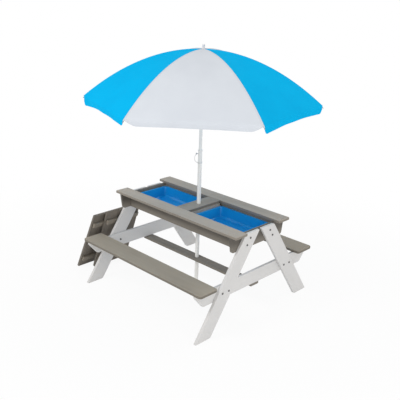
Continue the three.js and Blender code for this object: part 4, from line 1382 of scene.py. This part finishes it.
@dataclass
class Pole:
    """The two tubes, the collar, foot cap and knob, and the height pin, all truly round.

    An outline's points are radii and heights. The collar's heights are above the lower tube's
    mouth, the knob's above its own disc's underside, and the pin head's above the pin's neck.
    """

    steps: int = 64
    lower_radius: float = 0.011
    lower_wall: float = 0.0014
    lower_low: float = 0.0043
    lower_top: float = 0.812
    upper_radius: float = 0.0085
    upper_wall: float = 0.0012
    upper_low: float = 0.600
    upper_top: float = 1.3257
    gap: float = 0.0003
    eased: float = 0.0004
    pin_bearing: float = math.radians(225)
    pin_height: float = 0.798
    pin_radius: float = 0.0022
    pin_edge: float = 0.0005
    pin_neck: float = 0.008
    pin_steps: int = 40
    pin_head: Outline = (
        (0.0042, 0.0), (0.0045, 0.0004), (0.0045, 0.0026), (0.0042, 0.0036),
        (0.0034, 0.0044), (0.0020, 0.0049), (0.0, 0.005),
    )
    hole_radius: float = 0.0026
    hole_sides: int = 24
    hole_pitch: float = 0.05
    holes: int = 4
    drill_reach: float = 0.004
    collar_insert: float = 0.006
    collar_height: float = 0.008
    collar_lip: float = 0.0005
    collar_shoulder: Outline = (
        (0.0120, 0.0), (0.0124, 0.0005), (0.0124, 0.0054), (0.0121, 0.0068),
        (0.0111, 0.0078), (0.0105, 0.008),
    )
    foot_disc: Outline = (
        (0.0, 0.0), (0.0095, 0.0), (0.0106, 0.0004), (0.011, 0.0015),
        (0.011, 0.0036), (0.0107, 0.004),
    )
    plug_top: float = 0.022
    plug_edge: float = 0.001
    knob_low: float = 1.3563
    knob_outline: Outline = (
        (0.0, 0.0), (0.0156, 0.0), (0.016, 0.0004), (0.0157, 0.0014), (0.0145, 0.0026),
        (0.0092, 0.0029), (0.0076, 0.0036), (0.0067, 0.0052), (0.0063, 0.0072),
        (0.0065, 0.0088), (0.0071, 0.0104), (0.0075, 0.0128), (0.0075, 0.0154),
        (0.0071, 0.0182), (0.0060, 0.0204), (0.0043, 0.0216), (0.0021, 0.0220), (0.0, 0.022),
    )
    coated: MetalFinish = MetalFinish(
        "coated_steel", Tint(247, 246, 242), Tint(241, 240, 237),
        metallic=0.0, roughness=0.32, peel_marks=500.0,
    )
    plated: MetalFinish = MetalFinish(
        "zinc_plate", Tint(198, 200, 203), Tint(178, 181, 185),
        metallic=0.9, roughness=0.3, peel_marks=800.0,
    )
    plastic: MouldedFinish = MouldedFinish(
        "white_plastic", Tint(246, 245, 241), Tint(239, 238, 235),
        roughness=0.34, coat=0.1,
    )
    knob_plastic: MouldedFinish = MouldedFinish(
        "knob_plastic", Tint(216, 217, 221), Tint(208, 209, 213),
        roughness=0.4, coat=0.1,
    )

    def bore(self) -> float:
        """The radius of what is pressed into the lower tube."""
        return self.lower_radius - self.lower_wall - self.gap

    def outward(self) -> Matrix:
        """The turn that lays what stands upright along the pin's bearing."""
        return Matrix.Rotation(self.pin_bearing, 4, "Z") @ Matrix.Rotation(QUARTER_TURN, 4, "Y")

    def wall(self, radius: float, thickness: float, low: float, high: float) -> Outline:
        """Outlines a tube's wall, with its outer rims eased.

        Args:
            radius: the tube's outer radius.
            thickness: its wall.
            low: where it begins.
            high: where it ends.

        Returns:
            The outline.
        """
        bore, edge = radius - thickness, self.eased
        return [
            (bore, low),
            (radius - edge, low),
            (radius, low + edge),
            (radius, high - edge),
            (radius - edge, high),
            (bore, high),
        ]

    def drills(self, radius: float, count: int) -> Mesh:
        """Makes the drills for one wall's pin holes.

        Args:
            radius: the tube's outer radius.
            count: how many holes it has, from the highest down.

        Returns:
            The drills.
        """
        mesh = bmesh.new()
        depth = radius + self.drill_reach
        turn = self.outward() @ Matrix.Translation((0, 0, depth / 2))
        for number in range(count):
            height = self.pin_height - number * self.hole_pitch
            bmesh.ops.create_cone(
                mesh,
                cap_ends=True,
                segments=self.hole_sides,
                radius1=self.hole_radius,
                radius2=self.hole_radius,
                depth=depth,
                matrix=Matrix.Translation((0, 0, height)) @ turn,
            )
        return mesh

    def tubes(self) -> None:
        """Makes both tubes with their pin holes."""
        coated = self.coated.make()
        lower = self.wall(self.lower_radius, self.lower_wall, self.lower_low, self.lower_top)
        upper = self.wall(self.upper_radius, self.upper_wall, self.upper_low, self.upper_top)
        for name, outline, radius, count in (
            ("lower_pole", lower, self.lower_radius, 1),
            ("upper_pole", upper, self.upper_radius, self.holes),
        ):
            mesh = drilled(spun(outline, self.steps, True), self.drills(radius, count))
            tube = dress(finished(mesh, f"{name}_tube"), coated, name)
            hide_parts(name)

    def collar(self) -> Outline:
        """Outlines the collar's wall, from its insert in the lower tube to its round shoulder.

        Returns:
            The outline.
        """
        slide, bore = self.upper_radius + self.gap, self.bore()
        low = self.lower_top + self.gap
        top = low + self.collar_height
        return [
            (slide, low - self.collar_insert),
            (bore, low - self.collar_insert),
            (bore, low),
            *fitted(self.collar_shoulder, low=low),
            (slide + self.collar_lip, top),
            (slide, top - self.collar_lip),
        ]

    def foot(self) -> Outline:
        """Outlines the foot cap, with its plug in the lower tube.

        Returns:
            The outline.
        """
        bore, top, edge = self.bore(), self.plug_top, self.plug_edge
        disc_top = self.foot_disc[-1][1]
        return [
            *self.foot_disc,
            (bore, disc_top),
            (bore, top - edge),
            (bore - edge, top),
            (0.0, top),
        ]

    def mouldings(self) -> None:
        """Makes the collar, the foot cap and the knob."""
        plastic, knob_plastic = self.plastic.make(), self.knob_plastic.make()
        knob = fitted(self.knob_outline, low=self.knob_low)
        for node, outline, closed, finish, body in (
            ("pole_collar", self.collar(), True, plastic, "lower_pole"),
            ("pole_foot_cap", self.foot(), False, plastic, "umbrella_foot"),
            ("finial", knob, False, knob_plastic, "upper_pole"),
        ):
            made = finished(spun(outline, self.steps, closed), f"{node}_moulding")
            piece = dress(made, finish, body)
            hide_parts(node)

    def pin(self) -> None:
        """Makes the height pin with its domed head."""
        tip, neck = self.upper_radius + self.gap, self.lower_radius + self.pin_neck
        outline = [
            (0.0, tip),
            (self.pin_radius - self.pin_edge, tip),
            (self.pin_radius, tip + self.pin_edge),
            (self.pin_radius, neck),
            *fitted(self.pin_head, low=neck),
        ]
        mesh = spun(outline, self.pin_steps, False)
        moved(mesh, Matrix.Translation((0, 0, self.pin_height)) @ self.outward())
        made = finished(mesh, "height_pin_turned")
        piece = dress(made, self.plated.make(), "height_pin")
        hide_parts("height_pin")

    def make(self) -> None:
        """Makes every piece of the pole."""
        self.tubes()
        self.mouldings()
        self.pin()


@dataclass
class FoldingFrame:
    """The sunshade's hub, runner, ribs and struts and the pin's wire, with rib tips and rivets.

    The small pieces' outlines are shares of their radius and height, and their places on a rib
    are how far out and how high they are.
    """

    frame: Frame
    circle: RibCircle = RibCircle()
    tip_place: tuple[float, float] = (0.6202, 1.0883)
    tip_slope: float = math.atan(0.837)
    tip_length: float = 0.021
    tip_radius: float = 0.0020
    tip_steps: int = 20
    tip_outline: Outline = (
        (0.0, 0.0), (0.8, 0.0), (0.8, 0.7), (1.0, 0.72),
        (1.0, 0.92), (0.8, 0.98), (0.4, 1.0), (0.0, 1.0),
    )
    rivet_place: tuple[float, float] = (0.24067, 1.30493)
    lug_half: float = 0.0020
    strut_outer: float = 0.0048
    rivet_radius: float = 0.0023
    rivet_height: float = 0.0010
    rivet_steps: int = 24
    rivet_outline: Outline = (
        (0.0, 0.0), (1.0, 0.0), (0.96, 0.4), (0.72, 0.82), (0.36, 1.0), (0.0, 1.0),
    )
    coated: MetalFinish = MetalFinish(
        "rib_steel", Tint(232, 232, 233), Tint(222, 222, 224),
        metallic=0.0, roughness=0.34, peel_marks=500.0,
    )
    plastic: MouldedFinish = MouldedFinish(
        "frame_plastic", Tint(236, 236, 236), Tint(228, 228, 229),
        roughness=0.36, coat=0.1,
    )
    tip_plastic: MouldedFinish = MouldedFinish(
        "tip_plastic", Tint(150, 154, 160), Tint(132, 136, 142),
        roughness=0.4, coat=0.0,
    )
    wire: MetalFinish = MetalFinish(
        "tether_wire", Tint(233, 232, 229), Tint(218, 217, 214),
        metallic=0.0, roughness=0.36, peel_marks=800.0,
    )
    rivet: MetalFinish = MetalFinish(
        "rivet_steel", Tint(190, 192, 196), Tint(168, 171, 176),
        metallic=0.9, roughness=0.32, peel_marks=900.0,
    )

    def finish_all(self) -> None:
        """Finishes the nodes that stay."""
        numbers = range(1, self.circle.ribs + 1)
        jointed = [f"{kind}_{number}" for kind in ("rib", "strut") for number in numbers]
        self.frame.paint(jointed, self.coated.make())
        self.frame.paint(["top_hub", "runner"], self.plastic.make())
        self.frame.paint(["pin_tether"], self.wire.make())

    def tip(self) -> Mesh:
        """Makes the rounded end of one rib, in the XZ plane.

        Returns:
            The mesh.
        """
        outline = fitted(self.tip_outline, self.tip_radius, self.tip_length)
        mesh = spun(outline, self.tip_steps, False)
        moved(mesh, Matrix.Rotation(QUARTER_TURN + self.tip_slope, 4, "Y"))
        out, up = self.tip_place
        return moved(mesh, Matrix.Translation((out, 0, up)))

    def rivet_head(self, at: float, side: int) -> Mesh:
        """Makes one domed rivet head at the pivot between a rib in the XZ plane and its strut.

        Args:
            at: how far from the rib's plane its flat face lies.
            side: 1 where it points to +Y, or -1.

        Returns:
            The mesh.
        """
        outline = fitted(self.rivet_outline, self.rivet_radius, self.rivet_height)
        mesh = spun(outline, self.rivet_steps, False)
        moved(mesh, Matrix.Rotation(-side * QUARTER_TURN, 4, "X"))
        out, up = self.rivet_place
        return moved(mesh, Matrix.Translation((out, at, up)))

    def small_pieces(self) -> None:
        """Makes each rib's tip and the two heads of its rivet."""
        tip_finish, steel = self.tip_plastic.make(), self.rivet.make()
        for number in range(1, self.circle.ribs + 1):
            rib, strut = f"rib_{number}", f"strut_{number}"
            turn = Matrix.Rotation(self.circle.bearing(number), 4, "Z")
            tip = finished(moved(self.tip(), turn), f"rib_tip_{number}")
            dress(tip, tip_finish, rib)
            for body, at, side in ((rib, -self.lug_half, -1), (strut, self.strut_outer, 1)):
                head = finished(moved(self.rivet_head(at, side), turn), f"{body}_rivet_head")
                dress(head, steel, body)


@dataclass
class LidScrews:
    """The screws through each lid's battens into its planks."""

    batten_thickness: float = 0.014
    head_radius: float = 0.0034
    head_height: float = 0.0008
    head_edge: float = 0.0003
    head_sides: int = 24
    recess_rim: float = 0.00187
    recess_depth: float = 0.00048
    finish: MetalFinish = MetalFinish(
        "screw_steel", Tint(150, 148, 144), Tint(124, 122, 119),
        metallic=0.8, roughness=0.4, peel_marks=900.0,
    )

    def head(self) -> Mesh:
        """Makes one flat head with its driver's recess, facing up.

        Returns:
            The mesh.
        """
        mesh = bmesh.new()
        size = (self.head_radius, 0.0, self.head_height, self.head_sides, self.head_edge)
        sink_socket(mesh, add_disc(mesh, *size), self.recess_rim, self.recess_depth)
        return mesh

    def batten_screws(self, lid: str, name: str, steel: bpy.types.Material) -> None:
        """Makes the screws of one batten.

        Args:
            lid: the batten's lid.
            name: which of its battens it is.
            steel: the screws' material.
        """
        middles = [middle_of(plank) for plank in planks_of(lid)]
        lower, upper = (middle_of(f"{lid}_{batten}") for batten in BATTENS)
        batten = middle_of(f"{lid}_{name}")
        across = (middles[-1] - middles[0]).normalized()
        out = across.cross((upper - lower).normalized())
        if out.dot(batten - middles[1]) < 0:
            out = -out
        turn = out.to_track_quat("Z", "Y").to_matrix().to_4x4()
        face = batten + out * self.batten_thickness / 2
        for number, plank in enumerate(middles, 1):
            place = face + across * (plank - batten).dot(across)
            mesh = moved(self.head(), Matrix.Translation(place) @ turn)
            dress(finished(mesh, f"{lid}_{name}_screw_{number}"), steel, lid)

    def make(self) -> None:
        """Makes the screws of both lids."""
        steel = self.finish.make()
        for lid in ("inner_lid", "outer_lid"):
            for name in BATTENS:
                self.batten_screws(lid, name, steel)


@dataclass
class Bins:
    """The two lift-out bins."""

    frame: Frame
    plastic: MouldedFinish = MouldedFinish(
        "blue_plastic", Tint(16, 153, 222), Tint(9, 140, 212),
        roughness=0.26, coat=0.25,
    )

    def finish_all(self) -> None:
        """Finishes both bins."""
        self.frame.paint(["left_bin", "right_bin"], self.plastic.make())


# Studio


@dataclass(frozen=True)
class Viewpoint:
    """Where the photograph was taken from."""

    place: tuple[float, float, float] = (2.26305, -2.32944, 1.69604)
    yaw: float = -0.768825
    pitch: float = -0.344432
    roll: float = 0.032362
    focal_pixels: float = 618.67
    picture_pixels: float = 400.0
    sensor: float = 36.0
    reach: float = 50.0

    def make(self) -> None:
        """Makes the scene's camera."""
        level = math.cos(self.pitch)
        ahead = (math.sin(self.yaw) * level, math.cos(self.yaw) * level, math.sin(self.pitch))
        forward = Vector(ahead)
        right = forward.cross(Vector((0, 0, 1))).normalized()
        up = right.cross(forward)
        cosine, sine = math.cos(self.roll), math.sin(self.roll)
        axes = Matrix((cosine * right + sine * up, cosine * up - sine * right, -forward))
        data = bpy.data.cameras.new("viewpoint")
        data.sensor_width = self.sensor
        data.lens = self.focal_pixels * self.sensor / self.picture_pixels
        data.clip_end = self.reach
        camera = linked("viewpoint", data)
        camera.matrix_world = Matrix.Translation(self.place) @ axes.transposed().to_4x4()
        bpy.context.scene.camera = camera


@dataclass(frozen=True)
class Lamp:
    """A round, soft lamp."""

    name: str
    place: tuple[float, float, float]
    size: float
    power: float

    def hang(self, aim: Vector) -> None:
        """Hangs the lamp.

        Args:
            aim: the point that it shines at.
        """
        data = bpy.data.lights.new(self.name, "AREA")
        data.shape = "DISK"
        data.size = self.size
        data.energy = self.power
        lamp = linked(self.name, data)
        lamp.location = self.place
        lamp.rotation_euler = (aim - Vector(self.place)).to_track_quat("-Z", "Y").to_euler()


@dataclass
class Studio:
    """A white floor, an even white surround and soft lamps."""

    floor_half: float = 12.0
    floor_colour: tuple[float, float, float, float] = (0.88, 0.88, 0.88, 1.0)
    fade_from: float = 0.9
    fade_to: float = 2.3
    near_glow: float = 0.92
    surround: float = 0.66
    surround_colour: tuple[float, float, float, float] = (1.0, 0.99, 0.975, 1.0)
    lamps: tuple[Lamp, ...] = (
        Lamp("key", place=(-0.6, -3.2, 3.5), size=1.7, power=60.0),
        Lamp("front", place=(2.9, -2.8, 1.3), size=2.4, power=10.0),
        Lamp("end", place=(7.5, -1.9, 1.3), size=3.0, power=92.0),
        Lamp("back", place=(1.2, 3.5, 2.8), size=2.5, power=30.0),
    )
    aim: tuple[float, float, float] = (0.0, 0.0, 0.55)

    def floor(self) -> None:
        """Lays the floor. It is white to the camera, most of all far off, and keeps the shadow."""
        mesh = bmesh.new()
        bmesh.ops.create_grid(mesh, x_segments=1, y_segments=1, size=self.floor_half)
        made = finished(mesh, "studio_floor", None)
        bench = NodeBench(bpy.data.materials.new("studio_white"))
        matt = bench.add("ShaderNodeBsdfDiffuse", None, {"Color": self.floor_colour})
        glow = bench.add("ShaderNodeEmission", None, {"Color": WHITE, "Strength": 1.0})
        rays = bench.add("ShaderNodeLightPath").outputs
        seen = Amount(bench, rays["Is Camera Ray"]) + Amount(bench, rays["Is Glossy Ray"])
        place = {0: bench.place()}
        reach = bench.amount("ShaderNodeVectorMath", {"operation": "LENGTH"}, place, "Value")
        far = reach.rise(self.fade_from, self.fade_to)
        lit = bench.mixed(seen * (self.near_glow + far * (1 - self.near_glow)), matt, glow)
        below = bench.add("ShaderNodeNewGeometry").outputs["Backfacing"]
        clear = bench.add("ShaderNodeBsdfTransparent")
        made.data.materials.append(bench.close(bench.mixed(below, lit, clear)))

    def world(self) -> None:
        """Surrounds the scene with an even light that the camera sees as white."""
        bench = NodeBench(bpy.data.worlds.new("studio"))
        light = {"Color": self.surround_colour, "Strength": self.surround}
        even = bench.add("ShaderNodeBackground", None, light)
        white = bench.add("ShaderNodeBackground", None, {"Color": WHITE, "Strength": 1.0})
        seen = bench.add("ShaderNodeLightPath").outputs["Is Camera Ray"]
        bpy.context.scene.world = bench.close(bench.mixed(seen, even, white))

    def make(self) -> None:
        """Builds the whole studio."""
        self.floor()
        self.world()
        for lamp in self.lamps:
            lamp.hang(Vector(self.aim))
        bpy.context.scene.view_settings.view_transform = "Standard"


def main() -> None:
    """Loads the frame and builds every sub-assembly in order."""
    logging.basicConfig(level=logging.INFO, format="%(name)s: %(message)s")
    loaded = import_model()
    frame = Frame(loaded["nodes"])
    folding_frame = FoldingFrame(frame)
    steps: list[Callable[[], None]] = [
        Viewpoint().make,
        Studio().make,
        Boards(frame).finish_all,
        Bins(frame).finish_all,
        Pole().make,
        folding_frame.finish_all,
        folding_frame.small_pieces,
        Bolts().make,
        LidScrews().make,
        Canopy().make,
    ]
    for step in steps:
        step()


if __name__ == "__main__":
    main()
